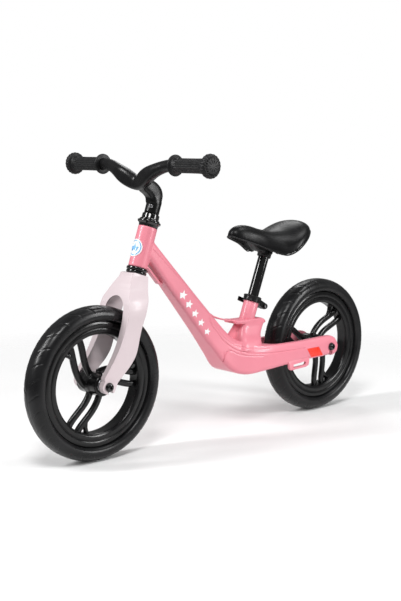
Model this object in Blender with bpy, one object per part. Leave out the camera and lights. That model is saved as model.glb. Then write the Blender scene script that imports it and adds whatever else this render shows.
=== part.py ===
"""Children's balance bike with twelve-inch foam tyres, as an assembly of separate pieces.

+X points forward, +Y to the rider's left and +Z up. The origin lies on the ground, midway
between the two hubs. Lengths are in metres, and lists of outline points are in millimetres.
"""
import math

import bmesh
import bpy
from mathutils import Matrix, Vector

MM = 0.001
GAP = 0.0003

# Wheels
WHEEL_RADIUS = 0.145
HALF_WHEELBASE = 0.300
RIM_INNER_RADIUS = 0.093
HUB_RADIUS = 0.020
HUB_HALF_LENGTH = 0.030
SPOKE_PAIRS = 3
SPOKE_WIDTH = 0.0095
SPOKE_HALF_DEPTH = 0.0042
SPOKE_SPACING = 0.0232
SPOKE_SWEEP = math.radians(32)
FRONT_SPOKE_PHASE = math.radians(62)
REAR_SPOKE_PHASE = math.radians(22)
WHEEL_SEGMENTS = 36

# Axles and bearings
AXLE_RADIUS = 0.005
AXLE_BORE = 0.0032
BEARING_RADIUS = 0.013
BEARING_WIDTH = 0.008

# Steering
HEAD_ANGLE = math.radians(71)
HEAD_FOOT = Vector((0.1958, 0, 0.3518))
HEAD_LENGTH = 0.0792
HEAD_RADIUS = 0.0183
HEAD_BORE = 0.0150
BADGE_HEIGHT = 0.0345
BADGE_RADIUS = 0.0172
BADGE_LIFT = 0.0004
BADGE_THICKNESS = 0.0009
STEERER_RADIUS = 0.0127
STEERER_TOP = 0.135
COLUMN_RADIUS = 0.0143
COLUMN_FOOT = 0.1052

# Seat
SEAT_ANGLE = math.radians(68.9)
SEAT_TUBE_TOP = Vector((-0.1047, 0, 0.258))
SEAT_TUBE_RADIUS = 0.0155
SEAT_BORE = 0.0139
SEAT_BORE_DEPTH = 0.122
POST_RADIUS = 0.0111
POST_INSERTION = 0.065
POST_TOP = 0.118
EAR_REACH = 0.036
EAR_HEIGHT = 0.0002
LEVER_PIVOT_Y = -0.0165
LEVER_PIN_RADIUS = 0.0020
LEVER_SLOT = 0.0031

# Fork and frame widths
STAY_OUTER = 0.050
STAY_INNER = 0.036
BLADE_OUTER = 0.046
BLADE_INNER = 0.034
BAR_RADIUS = 0.0111
GRIP_AXIS = Vector((0.1932, 0, 0.5443))
GRIP_START = 0.106
GRIP_END = 0.209

FORWARD = Vector((1, 0, 0))
SIDEWAYS = Vector((0, 1, 0))
STEERING_AXIS = Vector((-math.cos(HEAD_ANGLE), 0, math.sin(HEAD_ANGLE)))
SEAT_AXIS = Vector((-math.cos(SEAT_ANGLE), 0, math.sin(SEAT_ANGLE)))
FRONT_HUB = Vector((HALF_WHEELBASE, 0, WHEEL_RADIUS))
REAR_HUB = Vector((-HALF_WHEELBASE, 0, WHEEL_RADIUS))


# ---------------------------------------------------------------- helpers

def clear_scene():
    for item in list(bpy.data.objects):
        bpy.data.objects.remove(item)


def make_material(name, colour, roughness, metallic=0.0):
    material = bpy.data.materials.new(name)
    material.use_nodes = True
    shader = material.node_tree.nodes["Principled BSDF"]
    shader.inputs["Base Color"].default_value = (*colour, 1.0)
    shader.inputs["Roughness"].default_value = roughness
    shader.inputs["Metallic"].default_value = metallic
    return material


def make_axis(name, location, tilt):
    """An empty whose local Z leans back by the tilt, so that turned pieces stand along it."""
    empty = bpy.data.objects.new(name, None)
    empty.location = location
    empty.rotation_euler = (0, tilt, 0)
    bpy.context.scene.collection.objects.link(empty)
    return empty


def make_object(name, bm, material=None, parent=None, rotation=(0, 0, 0)):
    bmesh.ops.remove_doubles(bm, verts=bm.verts, dist=1e-6)
    bmesh.ops.recalc_face_normals(bm, faces=bm.faces)
    mesh = bpy.data.meshes.new(name)
    bm.to_mesh(mesh)
    bm.free()
    if material:
        mesh.materials.append(material)
    item = bpy.data.objects.new(name, mesh)
    item.parent = parent
    item.rotation_euler = rotation
    bpy.context.scene.collection.objects.link(item)
    mesh.shade_smooth()
    mesh.set_sharp_from_angle(angle=math.radians(35))
    return item


def apply_boolean(target, cutter, operation):
    """Joins or cuts two solids and keeps the result as plain mesh."""
    modifier = target.modifiers.new("shape", "BOOLEAN")
    modifier.operation = operation
    modifier.object = cutter
    bpy.context.view_layer.update()
    depsgraph = bpy.context.evaluated_depsgraph_get()
    result = bpy.data.meshes.new_from_object(target.evaluated_get(depsgraph))
    target.modifiers.clear()
    target.data = result
    bpy.data.objects.remove(cutter)


def unite(target, *others):
    for other in others:
        apply_boolean(target, other, "UNION")
    return target


def cut(target, *cutters):
    for cutter in cutters:
        apply_boolean(target, cutter, "DIFFERENCE")
    return target


def loft(rings):
    """A closed solid through a row of rings that have the same number of points."""
    bm = bmesh.new()
    loops = [[bm.verts.new(point) for point in ring] for ring in rings]
    count = len(loops[0])
    for lower, upper in zip(loops, loops[1:]):
        for i in range(count):
            j = (i + 1) % count
            bm.faces.new((lower[i], lower[j], upper[j], upper[i]))
    bm.faces.new(loops[0][::-1])
    bm.faces.new(loops[-1])
    return bm


def turned(profile, segments):
    """Spins (radius, height) points about Z: a closed loop makes a ring, an open one a solid."""
    bm = bmesh.new()
    verts = [bm.verts.new((radius, 0, height)) for radius, height in profile]
    pairs = list(zip(verts, verts[1:]))
    if profile[0][0] > 0:
        pairs.append((verts[-1], verts[0]))
    edges = [bm.edges.new(pair) for pair in pairs]
    bmesh.ops.spin(bm, geom=verts + edges, cent=(0, 0, 0), axis=(0, 0, 1), dvec=(0, 0, 0),
                   angle=2 * math.pi, steps=segments, use_merge=True, use_duplicate=False)
    return bm


def tube_profile(inner, outer, low, high, chamfer=0.0):
    """The closed outline of a tube's wall, with its outer corners taken off."""
    points = [(inner, low), (outer - chamfer, low), (outer, low + chamfer)]
    points += [(outer, high - chamfer), (outer - chamfer, high), (inner, high)]
    if chamfer == 0:
        points = [(inner, low), (outer, low), (outer, high), (inner, high)]
    return points


def cylinder(start, end, radius, segments=32):
    bm = bmesh.new()
    axis = end - start
    turn = axis.to_track_quat("Z", "Y").to_matrix().to_4x4()
    place = Matrix.Translation((start + end) / 2) @ turn
    bmesh.ops.create_cone(bm, cap_ends=True, segments=segments, radius1=radius, radius2=radius,
                          depth=axis.length, matrix=place)
    return bm


def block(low, high):
    bm = bmesh.new()
    low = Vector(low)
    high = Vector(high)
    place = Matrix.Translation((low + high) / 2) @ Matrix.Diagonal((*(high - low), 1))
    bmesh.ops.create_cube(bm, size=1, matrix=place)
    return bm


def plate(outline, low, high, plane="XZ"):
    """Extrudes an outline in millimetres across Y (plane XZ) or along Z (plane XY)."""
    bm = bmesh.new()
    if plane == "XZ":
        corners = [(x * MM, low, z * MM) for x, z in outline]
        move = Vector((0, high - low, 0))
    elif plane == "XY":
        corners = [(x * MM, y * MM, low) for x, y in outline]
        move = Vector((0, 0, high - low))
    else:
        corners = [(low, y * MM, z * MM) for y, z in outline]
        move = Vector((high - low, 0, 0))
    face = bm.faces.new([bm.verts.new(corner) for corner in corners])
    made = bmesh.ops.extrude_face_region(bm, geom=[face])["geom"]
    bmesh.ops.translate(bm, verts=[v for v in made if isinstance(v, bmesh.types.BMVert)], vec=move)
    return bm


def round_edges(bm, width, segments=2, angle=30):
    bmesh.ops.remove_doubles(bm, verts=bm.verts, dist=1e-6)
    bmesh.ops.recalc_face_normals(bm, faces=bm.faces)
    limit = math.radians(angle)
    sharp = [edge for edge in bm.edges if edge.is_manifold and edge.calc_face_angle() > limit]
    bmesh.ops.bevel(bm, geom=sharp, offset=width, segments=segments, profile=0.5,
                    affect="EDGES", clamp_overlap=True)
    return bm


def arc(centre, radius, start, end, steps):
    """Points in millimetres along an arc, its angles in degrees."""
    points = []
    for i in range(steps + 1):
        angle = math.radians(start + (end - start) * i / steps)
        points.append((centre[0] + radius * math.cos(angle), centre[1] + radius * math.sin(angle)))
    return points


def power_wave(value, power):
    return math.copysign(abs(value) ** (2 / power), value)


def rounded_ring(centre, across, up, power, count):
    """A ring between an ellipse (power 2) and a box (large power) on two half axes."""
    ring = []
    for i in range(count):
        angle = 2 * math.pi * (i + 0.5) / count
        side = across * power_wave(math.cos(angle), power)
        rise = up * power_wave(math.sin(angle), power)
        ring.append(centre + side + rise)
    return ring


def side_ring(top, bottom, half_width, power, count):
    """A ring across the bike between a top and a bottom point given in millimetres."""
    upper = Vector((top[0] * MM, 0, top[1] * MM))
    lower = Vector((bottom[0] * MM, 0, bottom[1] * MM))
    across = SIDEWAYS * half_width * MM
    return rounded_ring((upper + lower) / 2, across, (upper - lower) / 2, power, count)


def on_axis(origin, axis, distance):
    return origin + axis * distance


# ---------------------------------------------------------------- frame

# Top point, bottom point, half width and squareness of each section, from head to dropout.
BODY_SECTIONS = [
    ((165.0, 399.7), (188.2, 377.9), 16.5, 3.2),
    ((141.1, 374.2), (166.0, 350.9), 17.0, 3.2),
    ((93.2, 323.2), (121.6, 296.6), 18.0, 3.2),
    ((45.3, 272.2), (77.1, 242.4), 19.5, 3.2),
    ((7.7, 232.1), (42.2, 199.7), 22.0, 3.2),
    ((-17.6, 205.1), (18.7, 171.0), 25.5, 3.4),
    ((-36, 190), (-3, 144), 30.0, 3.6),
    ((-52, 182), (-20, 127.5), 35.0, 4.0),
    ((-66, 177), (-40, 118.5), 40.0, 4.2),
    ((-82, 173.5), (-64, 115.3), 44.5, 4.6),
    ((-104, 171), (-96, 117.5), 48.0, 5.2),
    ((-130, 169.5), (-130, 120), 50.0, 6.0),
    ((-225, 168), (-225, 125.5), 50.0, 6.0),
    ((-290, 169.3), (-290, 126.3), 50.0, 6.0),
    ((-308, 166.5), (-305, 124.5), 50.0, 6.0),
    ((-318, 159.5), (-314, 125.5), 50.0, 6.0),
    ((-323.5, 148), (-320, 131), 50.0, 6.0),
]

# Front x, rear x, height and half width of each level of the seat boss.
BOSS_LEVELS = [
    (-36, -108, 165, 42.0),
    (-46, -109, 180, 36.0),
    (-54, -115, 193, 26.0),
    (-62, -127, 207, 19.5),
    (-66, -129, 213, 18.5),
    (-69.5, -126, 219, 18.0),
    (-72, -119, 223.5, 17.0),
]

WEB_TOP = [(18, 249), (7, 240.5), (-8, 235), (-24, 230.5), (-42, 227), (-58, 225), (-78, 224.5)]
WEB_THICKNESS = 3.4
WEB_HALF_WIDTH = 0.009

BRACKET_OUTLINE = [(-168, 127), (-171, 113), (-174, 109.5), (-178, 108.8), (-222, 110.8),
                   (-229, 113.5), (-231, 118), (-231.5, 130)]
BRACKET_SLOT = [(-181, 120.5), (-183.5, 118), (-183, 115.5), (-180.5, 113.8), (-216, 115.3),
                (-220.5, 117.5), (-221, 121), (-218, 123.2)]
REFLECTOR_OUTLINE = [(-222.6, 149.8), (-260, 149.8), (-273.6, 129.6), (-235.9, 129.6)]
STRAP_LOOP_LINE = [(180, 353), (172, 347.8), (168.2, 343.4), (146.3, 318.1), (142.6, 316.8),
                   (138.5, 321.5)]
STRAP_LOOP_THICKNESS = 0.0036


def boss_rings(count):
    rings = []
    for front, rear, height, half_width in BOSS_LEVELS:
        centre = Vector(((front + rear) / 2 * MM, 0, height * MM))
        along = FORWARD * (front - rear) / 2 * MM
        rings.append(rounded_ring(centre, along, SIDEWAYS * half_width * MM, 3.6, count))
    return rings


def shrunk(outline, offset):
    """Moves an outline's points towards its centre by a fixed distance in millimetres."""
    centre_x = sum(point[0] for point in outline) / len(outline)
    centre_z = sum(point[1] for point in outline) / len(outline)
    points = []
    for x, z in outline:
        away = Vector((x - centre_x, z - centre_z))
        away *= (away.length - offset) / away.length
        points.append((centre_x + away.x, centre_z + away.y))
    return points


def make_frame(material):
    """The one-piece cast frame: head tube, down tube, yoke, stays, seat boss and carry web."""
    body = make_object("frame", loft([side_ring(*section, 24) for section in BODY_SECTIONS]), material)
    gap_outline = [(-400, -STAY_INNER / MM)]
    gap_outline += arc((-116 - STAY_INNER / MM, 0), STAY_INNER / MM, -90, 90, 16)
    gap_outline += [(-400, STAY_INNER / MM)]
    cut(body, make_object("tyre_gap", plate(gap_outline, 0.05, 0.3, "XY")))

    head_top = on_axis(HEAD_FOOT, STEERING_AXIS, HEAD_LENGTH)
    loop_line = [Vector(point) * MM for point in STRAP_LOOP_LINE]
    loop = strip(loop_line, STRAP_LOOP_THICKNESS)
    web = WEB_TOP + [(x - 1, z - WEB_THICKNESS) for x, z in reversed(WEB_TOP)]
    seat_foot = on_axis(SEAT_TUBE_TOP, SEAT_AXIS, -0.06)
    seat_top = on_axis(SEAT_TUBE_TOP, SEAT_AXIS, 0.008)
    unite(body,
          make_object("head_tube", cylinder(HEAD_FOOT, head_top, HEAD_RADIUS, 28)),
          make_object("boss", loft(boss_rings(20))),
          make_object("seat_tube", cylinder(seat_foot, seat_top, SEAT_TUBE_RADIUS, 24)),
          make_object("web", plate(web, -WEB_HALF_WIDTH, WEB_HALF_WIDTH)),
          make_object("strap_loop", plate(loop, -0.006, 0.006)))
    for side in (-1, 1):
        near, far = sorted((side * 0.0445, side * 0.0495))
        unite(body, make_object("bracket", plate(BRACKET_OUTLINE, near, far)))
        near, far = sorted((side * 0.03, side * 0.06))
        cut(body, make_object("bracket_slot", plate(BRACKET_SLOT, near, far)))
        near, far = sorted((side * 0.0485, side * 0.06))
        cut(body, make_object("reflector_seat", plate(REFLECTOR_OUTLINE, near, far)))

    drop = Vector((0, 0, 0.04))
    half_slot = AXLE_RADIUS + GAP
    slot_low = (REAR_HUB.x - half_slot, -0.06, REAR_HUB.z - drop.z)
    slot_high = (REAR_HUB.x + half_slot, 0.06, REAR_HUB.z)
    bore_low = on_axis(HEAD_FOOT, STEERING_AXIS, -0.02)
    bore_high = on_axis(head_top, STEERING_AXIS, 0.02)
    seat_floor = on_axis(SEAT_TUBE_TOP, SEAT_AXIS, -SEAT_BORE_DEPTH)
    cut(body,
        make_object("axle_hole", cylinder(REAR_HUB - SIDEWAYS * 0.06, REAR_HUB + SIDEWAYS * 0.06,
                                          half_slot, 16)),
        make_object("axle_slot", block(slot_low, slot_high)),
        make_object("steerer_bore", cylinder(bore_low, bore_high, HEAD_BORE, 24)),
        make_object("post_bore", cylinder(seat_floor, seat_top + SEAT_AXIS * 0.02, SEAT_BORE, 24)))
    split = block((-0.03, -0.0012, -0.022), (0, 0.0012, 0.03))
    bmesh.ops.transform(split, verts=split.verts, matrix=seat_matrix())
    cut(body, make_object("seat_tube_split", split))
    return body


def head_matrix():
    return Matrix.Translation(HEAD_FOOT) @ Matrix.Rotation(HEAD_ANGLE - math.pi / 2, 4, "Y")


def seat_matrix():
    return Matrix.Translation(SEAT_TUBE_TOP) @ Matrix.Rotation(SEAT_ANGLE - math.pi / 2, 4, "Y")


def make_frame_trim(trim, badge_finish, head_axis):
    for side, name in ((1, "left"), (-1, "right")):
        near, far = sorted((side * 0.0488, side * 0.0500))
        outline = shrunk(REFLECTOR_OUTLINE, 0.6)
        make_object(f"reflector_{name}", plate(outline, near, far), trim)
    shell = tube_profile(HEAD_RADIUS + BADGE_LIFT, HEAD_RADIUS + BADGE_LIFT + BADGE_THICKNESS,
                         BADGE_HEIGHT - BADGE_RADIUS, BADGE_HEIGHT + BADGE_RADIUS)
    badge = make_object("head_badge", turned(shell, 28), badge_finish)
    middle = Vector((0, 0, BADGE_HEIGHT))
    disc = make_object("badge_disc", cylinder(middle, middle + FORWARD * 0.04, BADGE_RADIUS, 28))
    apply_boolean(badge, disc, "INTERSECT")
    badge.parent = head_axis


# ---------------------------------------------------------------- headset and fork

def make_headset(gloss_black, steel, head_axis):
    """Pressed cups and bearings at both ends of the head tube."""
    sleeve = HEAD_BORE - GAP
    lower_cup = [(0.0138, -0.0062), (0.0188, -0.0062), (0.0203, -0.0050), (0.0203, -0.0018),
                 (0.0190, -GAP), (sleeve, -GAP), (sleeve, 0.012), (0.0138, 0.012)]
    make_object("headset_lower_cup", turned(lower_cup, 24), gloss_black, head_axis)
    top = HEAD_LENGTH
    upper_cup = [(0.0138, top - 0.012), (sleeve, top - 0.012), (sleeve, top + GAP), (0.0180, top + GAP),
                 (0.0185, top + 0.0050), (0.0222, top + 0.0085), (0.0222, top + 0.0110),
                 (0.0210, top + 0.0120), (0.0138, top + 0.0120)]
    make_object("headset_upper_cup", turned(upper_cup, 24), gloss_black, head_axis)
    for name, low in (("lower", -0.0035), ("upper", top + 0.0012)):
        ring = tube_profile(STEERER_RADIUS + GAP, 0.0135, low, low + 0.007)
        make_object(f"headset_bearing_{name}", turned(ring, 24), steel, head_axis)


# Half widths and heights of the fork seen from the front, from crown to dropout.
FORK_FRONT = [(17.5, 345), (19.5, 338), (25.5, 327), (33.5, 311), (42, 296), (45.5, 283), (46.5, 268),
              (46, 240), (46, 120)]
FORK_ARCH_TOP = 304
FORK_ARCH_RADIUS = 28
# The fork seen from the left: front edge down to the dropout, then back up the rear edge.
FORK_SIDE_FRONT = [(222, 346), (226, 336), (236, 321), (246, 301), (251, 284), (255.5, 262),
                   (261, 244), (271, 220), (284, 197), (298, 177), (309, 162)]
FORK_SIDE_REAR = [(284, 141), (279, 151), (266, 163), (250, 178), (238, 194), (232, 210), (227.5, 228),
                  (222, 246), (214, 266), (207, 286), (197, 312), (186, 336), (183, 343)]


def make_fork(material):
    """Crown, blades and steerer as one piece; the blades are open towards the wheel."""
    outer = FORK_FRONT + [(-y, z) for y, z in reversed(FORK_FRONT)]
    front = make_object("fork_front", plate(outer, 0.15, 0.35, "YZ"))
    tip = arc((300, 145), 13.5, 50, -95, 8)
    side = FORK_SIDE_FRONT + tip + [(288, 133)] + FORK_SIDE_REAR
    body = make_object("fork", plate(side, -0.06, 0.06), material)
    apply_boolean(body, front, "INTERSECT")
    crown_top = on_axis(HEAD_FOOT, STEERING_AXIS, -0.0125)
    lid = block((-0.1, -0.1, 0), (0.1, 0.1, 0.1))
    bmesh.ops.transform(lid, verts=lid.verts,
                        matrix=Matrix.Translation(crown_top - HEAD_FOOT) @ head_matrix())
    cut(body, make_object("crown_trim", lid))
    rounded = bmesh.new()
    rounded.from_mesh(body.data)
    round_edges(rounded, 0.0035, 2, 40)
    rounded.to_mesh(body.data)
    rounded.free()

    centre = (0, FORK_ARCH_TOP - FORK_ARCH_RADIUS)
    arch = arc(centre, FORK_ARCH_RADIUS, 0, 180, 14)
    arch += [(-BLADE_INNER / MM, 170), (-BLADE_INNER / MM, 100), (BLADE_INNER / MM, 100),
             (BLADE_INNER / MM, 170)]
    cut(body, make_object("fork_arch", plate(arch, 0.14, 0.36, "YZ")))

    half_slot = AXLE_RADIUS + GAP
    slot = block((-half_slot, -0.06, -0.03), (half_slot, 0.06, 0))
    turn = Matrix.Translation(FRONT_HUB) @ Matrix.Rotation(math.radians(18), 4, "Y")
    bmesh.ops.transform(slot, verts=slot.verts, matrix=turn)
    reach = SIDEWAYS * 0.06
    cut(body,
        make_object("axle_hole", cylinder(FRONT_HUB - reach, FRONT_HUB + reach, half_slot, 16)),
        make_object("axle_slot", slot))
    foot = on_axis(HEAD_FOOT, STEERING_AXIS, -0.018)
    head = on_axis(HEAD_FOOT, STEERING_AXIS, STEERER_TOP)
    unite(body, make_object("steerer", cylinder(foot, head, STEERER_RADIUS, 24)))
    bore_foot = on_axis(HEAD_FOOT, STEERING_AXIS, -0.012)
    cut(body, make_object("steerer_bore", cylinder(bore_foot, head + STEERING_AXIS * 0.01,
                                                   STEERER_RADIUS - 0.0017, 24)))
    return body


def make_fork_trim(gloss_black, steering_axis):
    race = [(STEERER_RADIUS + GAP, -0.0122), (0.0182, -0.0122), (0.0195, -0.0112), (0.0195, -0.0078),
            (0.0186, -0.0066), (STEERER_RADIUS + GAP, -0.0066)]
    make_object("crown_race", turned(race, 24), gloss_black, steering_axis)
    low = HEAD_LENGTH + 0.0124
    nut = [(STEERER_RADIUS + GAP, low), (0.0190, low), (0.0190, low + 0.0020), (0.0165, low + 0.0035),
           (0.0165, low + 0.0120), (0.0158, low + 0.0130), (STEERER_RADIUS + GAP, low + 0.0130)]
    make_object("headset_lock_nut", turned(nut, 24), gloss_black, steering_axis)


# ---------------------------------------------------------------- handlebar

# Half the bar's line: sideways distance, x, z, half thickness and half height.
BAR_LINE = [
    (0, 192.0, 510.0, 10.5, 13.0),
    (10, 193.6, 512.5, 10.5, 13.0),
    (20, 196.1, 517.2, 10.6, 13.2),
    (30, 198.0, 522.2, 10.8, 13.4),
    (40, 199.2, 527.3, 11.0, 13.4),
    (50, 198.8, 531.9, 11.1, 13.0),
    (60, 197.6, 535.8, 11.1, 12.4),
    (70, 195.9, 539.2, 11.1, 11.8),
    (80, 194.2, 541.9, 11.1, 11.3),
    (92, 193.3, 543.9, 11.1, 11.1),
    (104, 193.2, 544.3, 11.1, 11.1),
    (204, 193.2, 544.3, 11.1, 11.1),
]

# Back point, front point, half width and squareness of the gooseneck, from column to bar.
NECK_SECTIONS = [
    ((144.1, 465.5), (170.3, 474.6), 14.2, 2.2),
    ((141.0, 475.7), (170.0, 482.0), 14.0, 2.8),
    ((139.5, 486), (172.5, 486), 13.5, 3.6),
    ((142.5, 497.5), (177, 490), 13.5, 4.0),
    ((150.5, 507.5), (183, 494), 13.5, 4.0),
    ((162.5, 515.0), (188, 498.5), 13.5, 4.0),
    ((177, 520.5), (192, 500.5), 13.5, 3.6),
    ((191, 523), (198, 502.5), 13.0, 3.0),
]


def bar_rings(count):
    line = [(-y, x, z, a, b) for y, x, z, a, b in reversed(BAR_LINE[1:])] + BAR_LINE
    centres = [Vector((x * MM, y * MM, z * MM)) for y, x, z, a, b in line]
    rings = []
    for i, (y, x, z, thick, tall) in enumerate(line):
        before = centres[max(i - 1, 0)]
        after = centres[min(i + 1, len(centres) - 1)]
        along = (after - before).normalized()
        up = along.cross(FORWARD).normalized()
        forward = up.cross(along).normalized()
        rings.append(rounded_ring(centres[i], forward * thick * MM, up * tall * MM, 2.0, count))
    return rings


def make_handlebar(material):
    """Column sleeve, gooseneck and both arms as one forging."""
    foot = on_axis(HEAD_FOOT, STEERING_AXIS, COLUMN_FOOT)
    shoulder = on_axis(HEAD_FOOT, STEERING_AXIS, COLUMN_FOOT + 0.026)
    body = make_object("handlebar", loft(bar_rings(14)), material)
    neck = [side_ring(back, front, half, power, 16) for back, front, half, power in NECK_SECTIONS]
    unite(body,
          make_object("neck", loft(neck)),
          make_object("column", cylinder(foot, shoulder, COLUMN_RADIUS, 24)))
    bore_top = on_axis(HEAD_FOOT, STEERING_AXIS, STEERER_TOP + 0.002)
    cut(body, make_object("column_bore", cylinder(foot - STEERING_AXIS * 0.01, bore_top,
                                                  STEERER_RADIUS + GAP, 24)))
    return body


CLAMP_BOLT_HEIGHT = 0.1168
CLAMP_BOLT_TURN = math.radians(38)


def make_clamp_bolt(steel, steering_axis):
    """The socket screw that grips the column on the steerer, on its front left."""
    profile = [(0, 0.0142), (0.0034, 0.0142), (0.0034, 0.0190), (0.0027, 0.0196), (0.0016, 0.0196),
               (0.0016, 0.0175), (0, 0.0175)]
    bm = turned(profile, 16)
    turn = Matrix.Rotation(CLAMP_BOLT_TURN, 4, "Z") @ Matrix.Rotation(math.pi / 2, 4, "Y")
    place = Matrix.Translation((0, 0, CLAMP_BOLT_HEIGHT)) @ turn @ Matrix.Translation((0, 0, 0.0004))
    bmesh.ops.transform(bm, verts=bm.verts, matrix=place)
    return make_object("column_clamp_bolt", bm, steel, steering_axis)


def make_grips(rubber):
    length = GRIP_END - GRIP_START
    bore = BAR_RADIUS + GAP
    profile = [(bore, 0), (0.0165, 0), (0.0195, 0.0012), (0.0195, 0.0036), (0.0150, 0.0062),
               (0.0135, 0.0120), (0.0132, 0.0550), (0.0137, 0.0850), (0.0150, 0.0890),
               (0.0205, 0.0910), (0.0218, 0.0935), (0.0218, 0.0975), (0.0195, 0.1005),
               (0.0120, length), (0, length), (0, length - 0.0045), (bore, length - 0.0045)]
    for side, name in ((1, "left"), (-1, "right")):
        bm = turned_between_poles(profile, 20)
        grip = make_object(f"grip_{name}", bm, rubber)
        grip.location = (GRIP_AXIS.x, side * GRIP_START, GRIP_AXIS.z)
        grip.rotation_euler = (-side * math.pi / 2, 0, 0)


def turned_between_poles(profile, segments):
    """Spins a closed outline that lies on the axis only along one of its edges."""
    bm = bmesh.new()
    verts = [bm.verts.new((radius, 0, height)) for radius, height in profile]
    edges = []
    for first, second in zip(verts, verts[1:] + verts[:1]):
        if first.co.x > 0 or second.co.x > 0:
            edges.append(bm.edges.new((first, second)))
    bmesh.ops.spin(bm, geom=verts + edges, cent=(0, 0, 0), axis=(0, 0, 1), dvec=(0, 0, 0),
                   angle=2 * math.pi, steps=segments, use_merge=True, use_duplicate=False)
    return bm


# ---------------------------------------------------------------- wheels

def tyre_profile():
    half = [(0.1125, 0.0108), (0.1175, 0.0130), (0.1178, 0.0182), (0.1230, 0.0232), (0.1310, 0.0236),
            (0.1400, 0.0182), (0.1450, 0.0050)]
    return half + [(radius, -height) for radius, height in reversed(half)]


def rim_profile():
    half = [(0.0930, 0.0120), (0.0970, 0.0160), (0.1130, 0.0168), (0.1170, 0.0152), (0.1170, 0.0135),
            (0.1120, 0.0115)]
    return half + [(radius, -height) for radius, height in reversed(half)]


def spoke_point(radius, phase, offset):
    """A point of a swept spoke: it trails the rim end near the hub, and is offset sideways."""
    def centre(r):
        share = max(0.0, (RIM_INNER_RADIUS - r) / (RIM_INNER_RADIUS - HUB_RADIUS))
        angle = phase - SPOKE_SWEEP * share ** 1.4
        return Vector((r * math.cos(angle), r * math.sin(angle)))
    step = 0.001
    along = (centre(radius + step) - centre(radius - step)).normalized()
    return centre(radius) + Vector((-along.y, along.x)) * offset


def strip(points, width):
    """The outline in millimetres of a strip of even width along a row of points."""
    left = []
    right = []
    for i, point in enumerate(points):
        before = points[max(i - 1, 0)]
        after = points[min(i + 1, len(points) - 1)]
        along = (after - before).normalized()
        aside = Vector((-along.y, along.x)) * width / 2
        left.append((point + aside) / MM)
        right.append((point - aside) / MM)
    return [tuple(point) for point in left + right[::-1]]


def make_wheel(prefix, hub, phase, gloss, rubber, steel):
    axis = bpy.data.objects.new(f"{prefix}_hub_axis", None)
    axis.location = hub
    bpy.context.scene.collection.objects.link(axis)
    upright = (-math.pi / 2, 0, 0)
    make_object(f"{prefix}_tyre", turned(tyre_profile(), WHEEL_SEGMENTS), rubber, axis, upright)

    rim = make_object(f"{prefix}_rim", turned(rim_profile(), WHEEL_SEGMENTS), gloss)
    bore = BEARING_RADIUS + GAP
    hub_wall = tube_profile(bore, HUB_RADIUS, -HUB_HALF_LENGTH, HUB_HALF_LENGTH, 0.002)
    unite(rim, make_object("hub", turned(hub_wall, 20)))
    reach = [0.0130, 0.030, 0.045, 0.060, 0.075, 0.088, 0.096]
    for pair in range(SPOKE_PAIRS):
        pair_phase = phase + 2 * math.pi * pair / SPOKE_PAIRS
        for side in (-1, 1):
            line = [spoke_point(r, pair_phase, side * SPOKE_SPACING / 2) for r in reach]
            add_spoke(rim, strip(line, SPOKE_WIDTH))
        root = spoke_point(0.070, pair_phase, -SPOKE_SPACING / 2)
        middle = spoke_point(0.084, pair_phase, -SPOKE_SPACING / 2 - 0.0085)
        tip = spoke_point(0.097, pair_phase, -SPOKE_SPACING / 2 - 0.0260)
        add_spoke(rim, strip([root, middle, tip], 0.006))
    rim.parent = axis
    rim.rotation_euler = upright

    for side, name in ((1, "left"), (-1, "right")):
        low = HUB_HALF_LENGTH - BEARING_WIDTH - 0.0005
        ring = tube_profile(AXLE_RADIUS + GAP, BEARING_RADIUS, low, low + BEARING_WIDTH, 0.0006)
        turn = (-side * math.pi / 2, 0, 0)
        make_object(f"{prefix}_bearing_{name}", turned(ring, 20), steel, axis, turn)
    inner = HUB_HALF_LENGTH - BEARING_WIDTH - 0.0008
    sleeve = tube_profile(AXLE_RADIUS + GAP, 0.0075, -inner, inner)
    make_object(f"{prefix}_hub_sleeve", turned(sleeve, 16), steel, axis, upright)
    return axis


def add_spoke(rim, outline):
    """Joins a spoke, drawn forward and up, to the rim, whose axle lies along its own Z."""
    bm = plate([(x, -z) for x, z in outline], -SPOKE_HALF_DEPTH, SPOKE_HALF_DEPTH, "XY")
    unite(rim, make_object("spoke", bm))


def make_axle_set(prefix, axis, face, inner_face, steel, black):
    """A hollow axle, a spacer on each side and a button-head bolt in each end."""
    upright = (-math.pi / 2, 0, 0)
    shaft = tube_profile(AXLE_BORE, AXLE_RADIUS, -face + GAP, face - GAP)
    make_object(f"{prefix}_axle", turned(shaft, 16), steel, axis, upright)
    start = face + GAP
    bolt = [(0, start - 0.014), (AXLE_BORE - GAP, start - 0.014), (AXLE_BORE - GAP, start),
            (0.0085, start), (0.0085, start + 0.0014), (0.0074, start + 0.0018),
            (0.0074, start + 0.0040), (0.0058, start + 0.0062), (0.0029, start + 0.0068),
            (0.0029, start + 0.0040), (0, start + 0.0040)]
    spacer = tube_profile(AXLE_RADIUS + GAP, 0.0085, HUB_HALF_LENGTH + GAP, inner_face - GAP)
    for side, name in ((1, "left"), (-1, "right")):
        turn = (-side * math.pi / 2, 0, 0)
        make_object(f"{prefix}_axle_bolt_{name}", turned(bolt, 16), black, axis, turn)
        make_object(f"{prefix}_axle_spacer_{name}", turned(spacer, 16), steel, axis, turn)


# ---------------------------------------------------------------- seat

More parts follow.
